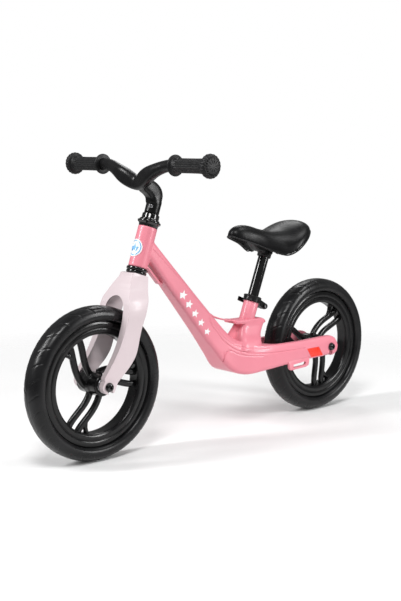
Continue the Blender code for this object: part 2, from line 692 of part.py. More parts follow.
# x, half width, top height and edge height of each station of the saddle, nose to tail.
SADDLE_STATIONS = [
    (-43, 6, 405.5, 397.5),
    (-49, 14.5, 412.5, 394.0),
    (-60, 20.5, 417.5, 390.0),
    (-76, 25, 419.0, 384.5),
    (-95, 31, 415.8, 377.5),
    (-115, 40, 409.5, 368.5),
    (-136, 52, 405.0, 359.5),
    (-152, 60, 405.0, 355.5),
    (-170, 66, 407.5, 361.0),
    (-188, 68, 412.5, 372.0),
    (-206, 65, 418.0, 385.0),
    (-220, 57.5, 422.0, 394.5),
    (-233, 46, 422.0, 400.0),
    (-243, 32, 417.5, 402.5),
    (-250, 13, 411.5, 404.0),
]
COVER_THICKNESS = 0.013
PAN_THICKNESS = 0.0035
PAN_RIM = 0.0020


def saddle_arch(station, count):
    """Points over the top of one station of the saddle, from its right edge to its left."""
    x, half_width, top, edge = station
    points = []
    for i in range(count):
        angle = math.pi * i / (count - 1)
        side = -math.cos(angle)
        rise = math.sin(angle) ** 0.85
        points.append(Vector((x * MM, half_width * side * MM, (edge + (top - edge) * rise) * MM)))
    return points


def lowered(points, depth, squeeze):
    """The arch moved down, where it has height to lose, and narrowed."""
    floor = points[0].z
    crown = max(point.z for point in points)
    result = []
    for point in points:
        share = (point.z - floor) / max(crown - floor, 1e-6)
        height = floor + max(crown - floor - depth, 0.0015) * share
        result.append(Vector((point.x, point.y * squeeze, height)))
    return result


def make_saddle(cover_material, pan_material):
    count = 13
    rings = []
    for station in SADDLE_STATIONS:
        arch = saddle_arch(station, count)
        under = lowered(arch, COVER_THICKNESS, 0.90)
        rings.append(arch + under[::-1])
    make_object("saddle_cover", loft(rings), cover_material)

    pan_rings = []
    for station in SADDLE_STATIONS[2:-2]:
        arch = saddle_arch(station, count)
        roof = lowered(arch, COVER_THICKNESS - PAN_THICKNESS, 0.78)
        floor = lowered(arch, COVER_THICKNESS + PAN_THICKNESS, 0.75)
        floor = [point - Vector((0, 0, PAN_RIM)) for point in floor]
        pan_rings.append(roof + floor[::-1])
    pan = make_object("saddle_base", loft(pan_rings), pan_material)
    keel = plate([(-84, 398), (-113, 365), (-122, 361.5), (-160, 358), (-172, 380), (-168, 393)],
                 -0.011, 0.011)
    low = on_axis(SEAT_TUBE_TOP, SEAT_AXIS, 0.097)
    high = on_axis(SEAT_TUBE_TOP, SEAT_AXIS, 0.142)
    unite(pan,
          make_object("keel", keel),
          make_object("post_socket", cylinder(low, high, 0.0145, 24)))
    for drop in (GAP, 4 * GAP):
        room = loft(rings)
        bmesh.ops.translate(room, verts=room.verts, vec=(0, 0, -drop))
        cut(pan, make_object("cover_room", room))
    bore_high = on_axis(SEAT_TUBE_TOP, SEAT_AXIS, POST_TOP + GAP)
    cut(pan, make_object("socket_bore", cylinder(low - SEAT_AXIS * 0.01, bore_high,
                                                 POST_RADIUS + GAP, 24)))


def make_seat_hardware(gloss_black, steel, nylon, seat_axis):
    wall = 0.0015
    post = tube_profile(POST_RADIUS - wall, POST_RADIUS, -POST_INSERTION, POST_TOP)
    make_object("seat_post", turned(post, 24), gloss_black, seat_axis)
    plug = [(0, -POST_INSERTION - 0.002), (POST_RADIUS, -POST_INSERTION - 0.002),
            (POST_RADIUS, -POST_INSERTION - GAP), (POST_RADIUS - wall - GAP, -POST_INSERTION - GAP),
            (POST_RADIUS - wall - GAP, -POST_INSERTION + 0.008), (0, -POST_INSERTION + 0.008)]
    make_object("seat_post_plug", turned(plug, 24), nylon, seat_axis)
    sleeve = tube_profile(POST_RADIUS + GAP, SEAT_BORE - GAP, -0.060, 0.0075)
    make_object("seat_tube_sleeve", turned(sleeve, 24), nylon, seat_axis)
    bolt = [(0, 0.0148), (0.0032, 0.0148), (0.0045, 0.0152), (0.0045, 0.0180), (0.0036, 0.0192),
            (0.0020, 0.0192), (0.0020, 0.0172), (0, 0.0172)]
    for side, name in ((1, "left"), (-1, "right")):
        turn = (-side * math.pi / 2, 0, 0)
        screw = make_object(f"saddle_bolt_{name}", turned(bolt, 16), steel, seat_axis, turn)
        screw.location = (0, 0, 0.108)


def make_seat_clamp(satin_black, steel, seat_axis):
    """Split collar with long rear ears, drawn together by a skewer with a cam lever."""
    inner = SEAT_TUBE_RADIUS + GAP
    lip = POST_RADIUS + 0.0009
    profile = [(inner, -0.0010), (0.0182, -0.0010), (0.0188, 0.0002), (0.0188, 0.0108),
               (0.0180, 0.0120), (lip, 0.0120), (lip, 0.0084), (inner, 0.0084)]
    collar = make_object("seat_clamp", turned(profile, 24), satin_black)
    half_height = 6.7
    reach = EAR_REACH / MM
    middle = EAR_HEIGHT / MM
    ears = [(-14, 11.6), (-24, 9.0)] + arc((-reach, middle), half_height, 90, 270, 8)
    ears += [(-24, -4.0), (-14, -0.8)]
    unite(collar, make_object("ears", plate(ears, -0.0065, 0.0065)))
    pin_line = Vector((-EAR_REACH, 0, EAR_HEIGHT))
    cut(collar,
        make_object("ear_gap", block((-0.06, -0.0012, -0.02), (-0.010, 0.0012, 0.02))),
        make_object("ear_bore", cylinder(pin_line - SIDEWAYS * 0.02, pin_line + SIDEWAYS * 0.02,
                                         0.0028, 12)),
        make_object("post_room", cylinder(Vector((0, 0, -0.02)), Vector((0, 0, 0.0084)), inner, 24)))
    collar.parent = seat_axis

    pivot = Vector((-EAR_REACH, LEVER_PIVOT_Y, EAR_HEIGHT))
    rod_end = Vector((-EAR_REACH, 0.0080, EAR_HEIGHT))
    rod = make_object("clamp_skewer", cylinder(pivot + SIDEWAYS * 0.0035, rod_end, 0.0025, 12), steel)
    unite(rod, make_object("rod_eye", pin_cylinder(pivot, 0.0027, 0.0042, 16)))
    cut(rod, make_object("rod_eye_hole", pin_cylinder(pivot, 0.02, LEVER_PIN_RADIUS + GAP, 12)))
    rod.parent = seat_axis
    nut = tube_profile(0.0028, 0.0052, 0.0068, 0.0092, 0.0004)
    cap = make_object("clamp_nut", turned(nut, 16), satin_black, seat_axis, (-math.pi / 2, 0, 0))
    cap.location = pin_line

    head = make_object("clamp_lever", pin_cylinder(pivot, 0.0050, 0.0075, 20), satin_black)
    grip = [(-36, -23.5), (-26, -25.0), (-8, -24.4), (8, -22.0), (16, -21.6), (17.5, -23.8), (9, -26.2),
            (-8, -28.8), (-28, -29.0), (-38, -27.0)]
    arm = plate(grip, -0.0045, 0.0048, "XY")
    unite(head, make_object("arm", round_edges(arm, 0.0009, 1, 50)),
          make_object("arm_root", block((-0.041, -0.0255, -0.0043), (-0.031, -0.018, 0.0046))))
    swing = block((-0.0470, -0.0210, EAR_HEIGHT - LEVER_SLOT), (-0.0325, -0.0050, EAR_HEIGHT + LEVER_SLOT))
    cut(head,
        make_object("pin_hole", pin_cylinder(pivot, 0.02, LEVER_PIN_RADIUS + GAP, 12)),
        make_object("eye_room", pin_cylinder(pivot, LEVER_SLOT, 0.0048, 16)),
        make_object("rod_swing", swing))
    head.parent = seat_axis
    pin = make_object("lever_pin", pin_cylinder(pivot, 0.0055, LEVER_PIN_RADIUS, 12), steel)
    pin.parent = seat_axis


def pin_cylinder(middle, half_length, radius, segments):
    """An upright cylinder about a point, as the lever's pin and its eye are."""
    reach = Vector((0, 0, half_length))
    return cylinder(middle - reach, middle + reach, radius, segments)


# ---------------------------------------------------------------- assembly

def build():
    clear_scene()
    pink = make_material("frame_pink_paint", (0.86, 0.26, 0.34), 0.42)
    ivory = make_material("fork_ivory_paint", (0.83, 0.72, 0.74), 0.40)
    gloss_black = make_material("gloss_black_steel", (0.012, 0.012, 0.013), 0.15, 0.3)
    satin_black = make_material("satin_black_metal", (0.016, 0.016, 0.017), 0.38)
    wheel_black = make_material("moulded_black_plastic", (0.014, 0.014, 0.015), 0.30)
    tyre_black = make_material("foam_tyre", (0.018, 0.018, 0.019), 0.55)
    grip_black = make_material("grip_rubber", (0.020, 0.020, 0.021), 0.75)
    saddle_black = make_material("saddle_leather", (0.016, 0.016, 0.017), 0.42)
    steel = make_material("bright_steel", (0.60, 0.60, 0.62), 0.28, 1.0)
    nylon = make_material("nylon", (0.03, 0.03, 0.032), 0.50)
    orange = make_material("orange_reflector", (1.0, 0.06, 0.02), 0.30)
    white = make_material("badge_white", (0.85, 0.86, 0.88), 0.30)

    lean = HEAD_ANGLE - math.pi / 2
    head_axis = make_axis("head_axis", HEAD_FOOT, lean)
    steering_axis = make_axis("steering_axis", HEAD_FOOT, lean)
    seat_axis = make_axis("seat_axis", SEAT_TUBE_TOP, SEAT_ANGLE - math.pi / 2)

    make_frame(pink)
    make_frame_trim(orange, white, head_axis)
    make_headset(gloss_black, steel, head_axis)
    make_fork(ivory)
    make_fork_trim(gloss_black, steering_axis)
    make_handlebar(satin_black)
    make_clamp_bolt(steel, steering_axis)
    make_grips(grip_black)
    front = make_wheel("front", FRONT_HUB, FRONT_SPOKE_PHASE, wheel_black, tyre_black, steel)
    rear = make_wheel("rear", REAR_HUB, REAR_SPOKE_PHASE, wheel_black, tyre_black, steel)
    make_axle_set("front", front, BLADE_OUTER, BLADE_INNER, steel, gloss_black)
    make_axle_set("rear", rear, STAY_OUTER, STAY_INNER, steel, gloss_black)
    make_saddle(saddle_black, nylon)
    make_seat_hardware(gloss_black, steel, nylon, seat_axis)
    make_seat_clamp(satin_black, steel, seat_axis)


build()
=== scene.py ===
"""Looks of a children's balance bike, laid out as an add-on and run as a script."""
import math

import bmesh
import bpy
import numpy as np
from mathutils import Matrix, Vector


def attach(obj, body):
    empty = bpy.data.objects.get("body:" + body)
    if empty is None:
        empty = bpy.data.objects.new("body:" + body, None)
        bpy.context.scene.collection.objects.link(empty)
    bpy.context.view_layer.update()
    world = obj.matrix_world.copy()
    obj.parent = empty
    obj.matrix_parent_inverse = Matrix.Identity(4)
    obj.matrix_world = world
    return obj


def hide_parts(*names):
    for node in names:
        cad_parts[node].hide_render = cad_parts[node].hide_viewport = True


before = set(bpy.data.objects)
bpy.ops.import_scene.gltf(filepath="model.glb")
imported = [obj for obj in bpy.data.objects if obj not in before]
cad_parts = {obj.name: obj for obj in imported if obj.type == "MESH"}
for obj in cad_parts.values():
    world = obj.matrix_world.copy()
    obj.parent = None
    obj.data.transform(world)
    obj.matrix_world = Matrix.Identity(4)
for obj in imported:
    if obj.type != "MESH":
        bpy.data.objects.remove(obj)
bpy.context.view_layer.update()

bl_info = {
    "name": "Balance bike looks",
    "version": (1, 0, 0),
    "blender": (4, 5, 0),
    "location": "3D View > Sidebar > Balance bike",
    "description": "Detailed pieces, finishes and a studio for the balance bike",
    "category": "Object",
}

MM = 0.001
QUARTER_TURN = math.pi / 2
UP = Vector((0, 0, 1))
FORWARD = Vector((1, 0, 0))
LEFT = Vector((0, 1, 0))
SIDES = ((1, "left"), (-1, "right"))

# Places that come from the packed model
HALF_WHEELBASE = 0.300
HUB_HEIGHT = 0.145
HUBS = {"front": Vector((HALF_WHEELBASE, 0, HUB_HEIGHT)),
        "rear": Vector((-HALF_WHEELBASE, 0, HUB_HEIGHT))}
AXLE_SLOT = 0.0053
CLEAR = 0.06  # further from the middle than any blade, stay or hub reaches
GRIP_START = Vector((0.1932, 0.106, 0.5443))
HEAD_ANGLE = math.radians(71)
HEAD_FOOT = Vector((0.1958, 0, 0.3518))
HEAD_LENGTH = 0.0792
SEAT_ANGLE = math.radians(68.9)
SEAT_TUBE_TOP = Vector((-0.1047, 0, 0.258))
HEAD_PLACE = Matrix.Translation(HEAD_FOOT) @ Matrix.Rotation(HEAD_ANGLE - QUARTER_TURN, 4, "Y")
SEAT_PLACE = Matrix.Translation(SEAT_TUBE_TOP) @ Matrix.Rotation(SEAT_ANGLE - QUARTER_TURN, 4, "Y")
HEAD_AXIS = HEAD_PLACE.to_3x3() @ UP
SEAT_AXIS = SEAT_PLACE.to_3x3() @ UP


# Each finish's material once it is made.
FINISHES = {}


# ---------------------------------------------------------------- settings

class BikePaint(bpy.types.PropertyGroup):
    """Colours of the painted and printed pieces."""
    frame_colour: bpy.props.FloatVectorProperty(
        name="Frame", description="Paint of the cast frame", subtype="COLOR", size=3,
        min=0, max=1, default=(0.780, 0.235, 0.300))
    fork_colour: bpy.props.FloatVectorProperty(
        name="Fork", description="Paint of the fork", subtype="COLOR", size=3,
        min=0, max=1, default=(0.660, 0.565, 0.585))
    motif_colour: bpy.props.FloatVectorProperty(
        name="Motif", description="Ink of the stars on the frame", subtype="COLOR", size=3,
        min=0, max=1, default=(0.88, 0.88, 0.87))
    reflector_colour: bpy.props.FloatVectorProperty(
        name="Reflector", description="Lens of the side reflectors", subtype="COLOR", size=3,
        min=0, max=1, default=(0.95, 0.032, 0.010))


class BikeWheels(bpy.types.PropertyGroup):
    """Sizes of the wheels."""
    sipe_depth: bpy.props.FloatProperty(
        name="Sipe depth", description="Depth of the slanted cuts in the tread", unit="LENGTH",
        min=0, max=0.002, default=0.0009)
    sipes: bpy.props.IntProperty(
        name="Sipes", description="Slanted cuts round each tyre", min=8, max=60, default=30)
    spoke_width: bpy.props.FloatProperty(
        name="Spoke width", description="Width of one spoke seen from the side", unit="LENGTH",
        min=0.006, max=0.014, default=0.0128)


class BikeSeat(bpy.types.PropertyGroup):
    """Softness and grain of the saddle."""
    pressure: bpy.props.FloatProperty(
        name="Pressure", description="Pressure of the padding against the skin", min=0, max=10,
        default=4.0)
    swell: bpy.props.FloatProperty(
        name="Swell", description="Furthest that the skin may move", unit="LENGTH", min=0,
        max=0.01, default=0.002)
    grain: bpy.props.FloatProperty(
        name="Grain", description="Size of one cell of the leather grain", unit="LENGTH",
        min=0.0005, max=0.005, default=0.0014)


class BikeStage(bpy.types.PropertyGroup):
    """Camera and light."""
    lens: bpy.props.FloatProperty(
        name="Lens", description="Focal length in millimetres", min=20, max=200, default=63.76)
    floor_colour: bpy.props.FloatVectorProperty(
        name="Floor", description="Colour of the floor", subtype="COLOR", size=3, min=0, max=1,
        default=(0.86, 0.86, 0.86))
    surround: bpy.props.FloatProperty(
        name="Surround", description="Light from the white surround", min=0, max=2, default=0.20)
    key_power: bpy.props.FloatProperty(
        name="Key light", description="Power of the main light in watts", min=0, max=500,
        default=33)


# ---------------------------------------------------------------- shared tools

def settle(piece):
    """Applies a piece's modifiers to its mesh."""
    bpy.context.view_layer.update()
    graph = bpy.context.evaluated_depsgraph_get()
    mesh = bpy.data.meshes.new_from_object(piece.evaluated_get(graph))
    piece.modifiers.clear()
    piece.data = mesh
    return piece


def loose(bm, name="part"):
    """Turns a bmesh into an object at the origin, with clean outward faces."""
    bmesh.ops.remove_doubles(bm, verts=bm.verts, dist=1e-6)
    bmesh.ops.recalc_face_normals(bm, faces=bm.faces)
    mesh = bpy.data.meshes.new(name)
    bm.to_mesh(mesh)
    bm.free()
    piece = bpy.data.objects.new(name, mesh)
    bpy.context.scene.collection.objects.link(piece)
    return piece


def gathered(solids, name):
    """Puts overlapping closed solids in one mesh, to be given one skin later."""
    whole = bmesh.new()
    for bm in solids:
        bmesh.ops.recalc_face_normals(bm, faces=bm.faces)
        mesh = bpy.data.meshes.new("solid")
        bm.to_mesh(mesh)
        bm.free()
        whole.from_mesh(mesh)
        bpy.data.meshes.remove(mesh)
    mesh = bpy.data.meshes.new(name)
    whole.to_mesh(mesh)
    whole.free()
    piece = bpy.data.objects.new(name, mesh)
    bpy.context.scene.collection.objects.link(piece)
    return piece


def combine(piece, others, operation="UNION"):
    """Joins solids to a piece, or cuts them from it, and removes them."""
    for other in others:
        tool = piece.modifiers.new("shape", "BOOLEAN")
        tool.operation = operation
        tool.object = other
        settle(piece)
        bpy.data.objects.remove(other)
    return piece


def reskin(piece, voxel, rounds):
    skin = piece.modifiers.new("skin", "REMESH")
    skin.mode = "VOXEL"
    skin.voxel_size = voxel
    smooth = piece.modifiers.new("smooth", "SMOOTH")
    smooth.factor = 0.5
    smooth.iterations = rounds
    return settle(piece)


def finish_piece(piece, name, finish, body, stands_for=(), sharp=40):
    """Names a piece, shades it, gives it its finish and fixes it to its body."""
    piece.name = name
    piece.data.name = name
    piece.data.materials.clear()
    piece.data.materials.append(FINISHES[finish])
    piece.data.shade_smooth()
    if sharp:
        piece.data.set_sharp_from_angle(angle=math.radians(sharp))
    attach(piece, body)
    if stands_for:
        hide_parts(*stands_for)
    return piece


def spun(profile, segments=96, place=None, bevel=0.0, steps=2):
    """Spins (radius, height) points about Z; a profile clear of the axis becomes a ring."""
    bm = bmesh.new()
    verts = [bm.verts.new((radius, 0, height)) for radius, height in profile]
    edges = []
    for first, second in zip(verts, verts[1:] + verts[:1]):
        if first.co.x > 0 or second.co.x > 0:
            edges.append(bm.edges.new((first, second)))
    bmesh.ops.spin(bm, geom=verts + edges, cent=(0, 0, 0), axis=(0, 0, 1), dvec=(0, 0, 0),
                   angle=2 * math.pi, steps=segments, use_merge=True, use_duplicate=False)
    bmesh.ops.remove_doubles(bm, verts=bm.verts, dist=1e-6)
    bmesh.ops.recalc_face_normals(bm, faces=bm.faces)
    if bevel:
        soften(bm, bevel, steps)
    if place:
        bmesh.ops.transform(bm, verts=bm.verts, matrix=place)
    return bm


def soften(bm, width, steps=2, angle=28):
    """Bevels every edge that is sharper than an angle."""
    limit = math.radians(angle)
    edges = [e for e in bm.edges if e.is_manifold and e.calc_face_angle() > limit]
    bmesh.ops.bevel(bm, geom=edges, offset=width, offset_type="OFFSET", segments=steps,
                    profile=0.5, affect="EDGES", clamp_overlap=True, material=-1)
    return bm


def flat_shape(outline, low, high, plane="XZ"):
    """Extrudes an outline in millimetres across Y, along Z or along X."""
    bm = bmesh.new()
    span = high - low
    if plane == "XZ":
        corners = [(x * MM, low, z * MM) for x, z in outline]
        move = LEFT * span
    elif plane == "XY":
        corners = [(x * MM, y * MM, low) for x, y in outline]
        move = UP * span
    else:
        corners = [(low, y * MM, z * MM) for y, z in outline]
        move = FORWARD * span
    face = bm.faces.new([bm.verts.new(corner) for corner in corners])
    made = bmesh.ops.extrude_face_region(bm, geom=[face])["geom"]
    moved = [v for v in made if isinstance(v, bmesh.types.BMVert)]
    bmesh.ops.translate(bm, verts=moved, vec=move)
    bmesh.ops.recalc_face_normals(bm, faces=bm.faces)
    return bm


def side_plate(outline, side, inner, outer):
    """A flat shape between two distances from the bike's middle, on one side."""
    low, high = sorted((side * inner, side * outer))
    return flat_shape(outline, low, high)


def rod(start, end, radius, segments=48):
    """A closed cylinder between two points."""
    bm = bmesh.new()
    axis = end - start
    turn = axis.to_track_quat("Z", "Y").to_matrix().to_4x4()
    bmesh.ops.create_cone(bm, cap_ends=True, segments=segments, radius1=radius, radius2=radius,
                          depth=axis.length, matrix=Matrix.Translation((start + end) / 2) @ turn)
    return bm


def box_between(low, high, place=None):
    """A block between two corners, turned and moved to a place."""
    bm = bmesh.new()
    low = Vector(low)
    high = Vector(high)
    matrix = Matrix.Translation((low + high) / 2) @ Matrix.Diagonal((*(high - low), 1))
    bmesh.ops.create_cube(bm, size=1, matrix=(place or Matrix()) @ matrix)
    return bm


def skinned(rings):
    """A closed solid whose skin bridges a row of rings of points."""
    bm = bmesh.new()
    count = len(rings[0])
    loops = []
    for ring in rings:
        circle = bmesh.ops.create_circle(bm, cap_ends=False, segments=count, radius=1)["verts"]
        for vert, point in zip(circle, ring):
            vert.co = point
        loops.append({e for v in circle for e in v.link_edges})
    for lower, upper in zip(loops, loops[1:]):
        bmesh.ops.bridge_loops(bm, edges=list(lower | upper))
    for end in (loops[0], loops[-1]):
        bmesh.ops.holes_fill(bm, edges=list(end), sides=count)
    bmesh.ops.recalc_face_normals(bm, faces=bm.faces)
    return bm


def eased(rows, steps):
    """Fills in a smooth curve through rows of numbers, with a few steps between two rows."""
    rows = np.array(rows, dtype=float)
    padded = np.vstack([2 * rows[0] - rows[1], rows, 2 * rows[-1] - rows[-2]])
    result = []
    for a, b, c, d in zip(padded, padded[1:], padded[2:], padded[3:]):
        for t in np.arange(steps) / steps:
            result.append(b + 0.5 * t * (c - a + t * (2 * a - 5 * b + 4 * c - d
                                                     + t * (3 * (b - c) + d - a))))
    result.append(rows[-1])
    return np.array(result)


def superellipse(centre, across, up, power, count):
    """A ring of points that is round at a power of two and squarer above it."""
    ring = []
    for i in range(count):
        angle = 2 * math.pi * (i + 0.5) / count
        side = math.copysign(abs(math.cos(angle)) ** (2 / power), math.cos(angle))
        rise = math.copysign(abs(math.sin(angle)) ** (2 / power), math.sin(angle))
        ring.append(centre + across * side + up * rise)
    return ring


def ribbon(points, width):
    """The outline in millimetres of a strip of even width along a row of points."""
    left, right = [], []
    for i, point in enumerate(points):
        along = points[min(i + 1, len(points) - 1)] - points[max(i - 1, 0)]
        along = along.normalized()
        aside = Vector((-along.y, along.x)) * width / 2
        left.append((point + aside) / MM)
        right.append((point - aside) / MM)
    return [tuple(point) for point in left + right[::-1]]


def arc(centre, radius, start, end, steps):
    """Points of a circle between two angles in degrees."""
    points = []
    for i in range(steps + 1):
        angle = math.radians(start + (end - start) * i / steps)
        points.append((centre[0] + radius * math.cos(angle), centre[1] + radius * math.sin(angle)))
    return points


def mesh_arrays(mesh):
    """The places and the normals of a mesh's vertices."""
    count = len(mesh.vertices)
    places = np.empty(count * 3)
    normals = np.empty(count * 3)
    mesh.vertices.foreach_get("co", places)
    mesh.vertex_normals.foreach_get("vector", normals)
    return places.reshape(-1, 3), normals.reshape(-1, 3)


def store_places(mesh, places):
    """Moves a mesh's vertices to new places."""
    mesh.vertices.foreach_set("co", places.ravel())
    mesh.update()


def line_distance(points, line):
    """Distance in the same unit from each 2-D point to a polyline."""
    best = np.full(len(points), 1e9)
    line = np.array(line, dtype=float)
    for a, b in zip(line, line[1:]):
        along = b - a
        share = np.clip(((points - a) @ along) / (along @ along), 0, 1)
        best = np.minimum(best, np.linalg.norm(points - a - share[:, None] * along, axis=1))
    return best


# ---------------------------------------------------------------- finishes

# The pointiness at which the painted edge highlight starts and at which it is full.
EDGE_HIGHLIGHT_POINTINESS = (0.53, 0.60)


class Finish:
    """A small helper that lays out one procedural material."""

    def __init__(self, name, colour, roughness, metallic=0.0, coat=0.0, specular=0.5):
        self.key = name
        self.material = bpy.data.materials.new(f"look_{name}")
        self.material.use_nodes = True
        self.nodes = self.material.node_tree.nodes
        self.links = self.material.node_tree.links
        self.shader = self.nodes["Principled BSDF"]
        self.shader.inputs["Base Color"].default_value = (*colour, 1)
        self.shader.inputs["Roughness"].default_value = roughness
        self.shader.inputs["Metallic"].default_value = metallic
        self.shader.inputs["Specular IOR Level"].default_value = specular
        self.shader.inputs["Coat Weight"].default_value = coat
        self.shader.inputs["Coat Roughness"].default_value = 0.12
        self.colour = colour
        self.roughness = roughness
        self.where = self.nodes.new("ShaderNodeTexCoord")
        self.height = None

    def mapped(self, scale, turn=(0, 0, 0)):
        node = self.nodes.new("ShaderNodeMapping")
        node.inputs["Scale"].default_value = scale
        node.inputs["Rotation"].default_value = turn
        self.links.new(self.where.outputs["Object"], node.inputs["Vector"])
        return node.outputs["Vector"]

    def noise(self, scale, detail=3, vector=None):
        node = self.nodes.new("ShaderNodeTexNoise")
        node.inputs["Scale"].default_value = scale
        node.inputs["Detail"].default_value = detail
        self.links.new(vector or self.where.outputs["Object"], node.inputs["Vector"])
        return node.outputs["Fac"]

    def cells(self, scale, feature="F1", vector=None):
        node = self.nodes.new("ShaderNodeTexVoronoi")
        node.feature = feature
        node.inputs["Scale"].default_value = scale
        self.links.new(vector or self.where.outputs["Object"], node.inputs["Vector"])
        return node.outputs["Distance"]

    def spread(self, value, low, high, start=0.3, end=0.7):
        node = self.nodes.new("ShaderNodeMapRange")
        node.inputs["From Min"].default_value = start
        node.inputs["From Max"].default_value = end
        node.inputs["To Min"].default_value = low
        node.inputs["To Max"].default_value = high
        self.links.new(value, node.inputs["Value"])
        return node.outputs["Result"]

    def vary_roughness(self, scale, amount, vector=None):
        value = self.noise(scale, 4, vector)
        self.links.new(self.spread(value, self.roughness - amount, self.roughness + amount),
                       self.shader.inputs["Roughness"])
        return self

    def vary_colour(self, scale, other, share):
        """Blends towards another colour in soft clouds."""
        mix = self.nodes.new("ShaderNodeMix")
        mix.data_type = "RGBA"
        mix.inputs["A"].default_value = (*self.colour, 1)
        mix.inputs["B"].default_value = (*other, 1)
        self.links.new(self.spread(self.noise(scale, 4), 0, share), mix.inputs["Factor"])
        self.links.new(mix.outputs["Result"], self.shader.inputs["Base Color"])
        return self

    def painted_edge_highlight(self, other, share):
        """Paints a highlight along outer edges: a lighter colour where the edges catch the light.
        """
        geometry = self.nodes.new("ShaderNodeNewGeometry")
        amount = self.spread(geometry.outputs["Pointiness"], 0, share, *EDGE_HIGHLIGHT_POINTINESS)
        mix = self.nodes.new("ShaderNodeMix")
        mix.data_type = "RGBA"
        source = self.shader.inputs["Base Color"].links[0].from_socket
        self.links.new(source, mix.inputs["A"])
        mix.inputs["B"].default_value = (*other, 1)
        self.links.new(amount, mix.inputs["Factor"])
        self.links.new(mix.outputs["Result"], self.shader.inputs["Base Color"])
        return self

    def relief(self, value, distance, strength):
        """Adds a bump from a value, after any bump that is there already."""
        bump = self.nodes.new("ShaderNodeBump")
        bump.inputs["Distance"].default_value = distance
        bump.inputs["Strength"].default_value = strength
        self.links.new(value, bump.inputs["Height"])
        if self.height:
            self.links.new(self.height, bump.inputs["Normal"])
        self.height = bump.outputs["Normal"]
        self.links.new(self.height, self.shader.inputs["Normal"])
        return self


def make_finishes(paint, seat):
    """Every finish of the bike, by the name of what it covers."""
    pink = Finish("frame_paint", paint.frame_colour, 0.38, coat=0.18)
    darker = [channel * 0.93 for channel in paint.frame_colour]
    # Besides the random tone clouds, the lighter outer edges are a painted edge highlight.
    pink.vary_colour(9, darker, 0.6).painted_edge_highlight((0.86, 0.36, 0.42), 0.35).vary_roughness(55, 0.05)
    pink.relief(pink.noise(600, 2), 0.00005, 0.25).relief(pink.noise(60, 2), 0.0004, 0.04)

    ivory = Finish("fork_paint", paint.fork_colour, 0.40, coat=0.12)
    red, green, blue = paint.fork_colour
    warmer = (red * 0.97, green * 0.93, blue * 0.94)
    # The lighter outer edges of the fork are a painted edge highlight as well.
    ivory.vary_colour(11, warmer, 0.6).painted_edge_highlight((0.76, 0.68, 0.69), 0.3).vary_roughness(60, 0.05)
    ivory.relief(ivory.noise(600, 2), 0.00005, 0.25)

    gloss = Finish("gloss_black", (0.002, 0.002, 0.002), 0.07, coat=0.4)
    gloss.vary_colour(30, (0.005, 0.005, 0.006), 0.6).vary_roughness(70, 0.03)
    gloss.relief(gloss.noise(90, 2), 0.00001, 0.2)

    satin = Finish("satin_black", (0.004, 0.004, 0.004), 0.29, specular=0.28)
    satin.vary_colour(25, (0.010, 0.010, 0.011), 0.6).vary_roughness(80, 0.06)
    satin.relief(satin.noise(400, 2), 0.00001, 0.2)

    moulded = Finish("wheel_plastic", (0.003, 0.003, 0.003), 0.21, specular=0.32)
    moulded.vary_colour(16, (0.008, 0.008, 0.009), 0.6).vary_roughness(45, 0.07)
    moulded.relief(moulded.noise(400, 2), 0.00001, 0.2)

    tyre = Finish("foam_tyre", (0.005, 0.005, 0.0055), 0.30, specular=0.28)
    tyre.vary_colour(22, (0.013, 0.013, 0.014), 0.7).vary_roughness(30, 0.08)
    tyre.relief(tyre.cells(700), 0.00002, 0.2).relief(tyre.noise(140, 3), 0.0002, 0.05)

    grip = Finish("grip_rubber", (0.006, 0.006, 0.0065), 0.46, specular=0.3)
    grip.vary_colour(60, (0.015, 0.015, 0.016), 0.7).vary_roughness(90, 0.08)
    grip.relief(grip.cells(800), 0.00003, 0.2)

    leather = Finish("saddle_leather", (0.003, 0.003, 0.0033), 0.35, specular=0.19)
    leather.vary_colour(18, (0.006, 0.006, 0.0065), 0.7).vary_roughness(38, 0.06)
    grain = leather.cells(1 / seat.grain, "DISTANCE_TO_EDGE")
    leather.relief(leather.spread(grain, 0, 1, 0.0, 0.25), 0.00002, 0.2)
    leather.relief(leather.noise(300, 4), 0.00002, 0.1)

    steel = Finish("bright_steel", (0.58, 0.58, 0.60), 0.26, metallic=1)
    lathe = steel.mapped((1, 60, 1))
    steel.vary_colour(40, (0.42, 0.42, 0.44), 0.8).vary_roughness(200, 0.08, lathe)
    steel.relief(steel.noise(900, 2, lathe), 0.00003, 0.4)

    nylon = Finish("black_nylon", (0.008, 0.008, 0.0085), 0.45, specular=0.35)
    nylon.vary_colour(30, (0.014, 0.014, 0.015), 0.6).vary_roughness(70, 0.06)
    nylon.relief(nylon.cells(700), 0.00002, 0.2)

    lens = Finish("reflector_lens", paint.reflector_colour, 0.30, coat=0.3)
    lens.vary_colour(500, [channel * 0.8 for channel in paint.reflector_colour], 0.6)
    prisms = lens.mapped((1, 1, 1), (0, math.radians(45), 0))
    lens.vary_roughness(300, 0.06).relief(lens.cells(420, vector=prisms), 0.0004, 0.6)

    white = Finish("motif_white", paint.motif_colour, 0.42)
    white.vary_colour(80, (0.78, 0.79, 0.80), 0.4).vary_roughness(120, 0.05)
    white.relief(white.noise(900, 2), 0.00004, 0.4)

    enamel = Finish("badge_blue", (0.25, 0.52, 0.80), 0.30, coat=0.5)
    enamel.vary_colour(150, (0.20, 0.44, 0.72), 0.5).vary_roughness(120, 0.05)
    enamel.relief(enamel.noise(900, 2), 0.00004, 0.4)

    for finish in (pink, ivory, gloss, satin, moulded, tyre, grip, leather, steel, nylon, lens,
                   white, enamel):
        FINISHES[finish.key] = finish.material


def repaint(finish, *nodes):
    """Gives CAD nodes that stay as they are a finish of their own."""
    for node in nodes:
        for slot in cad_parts[node].material_slots:
            slot.material = FINISHES[finish]


# ---------------------------------------------------------------- frame

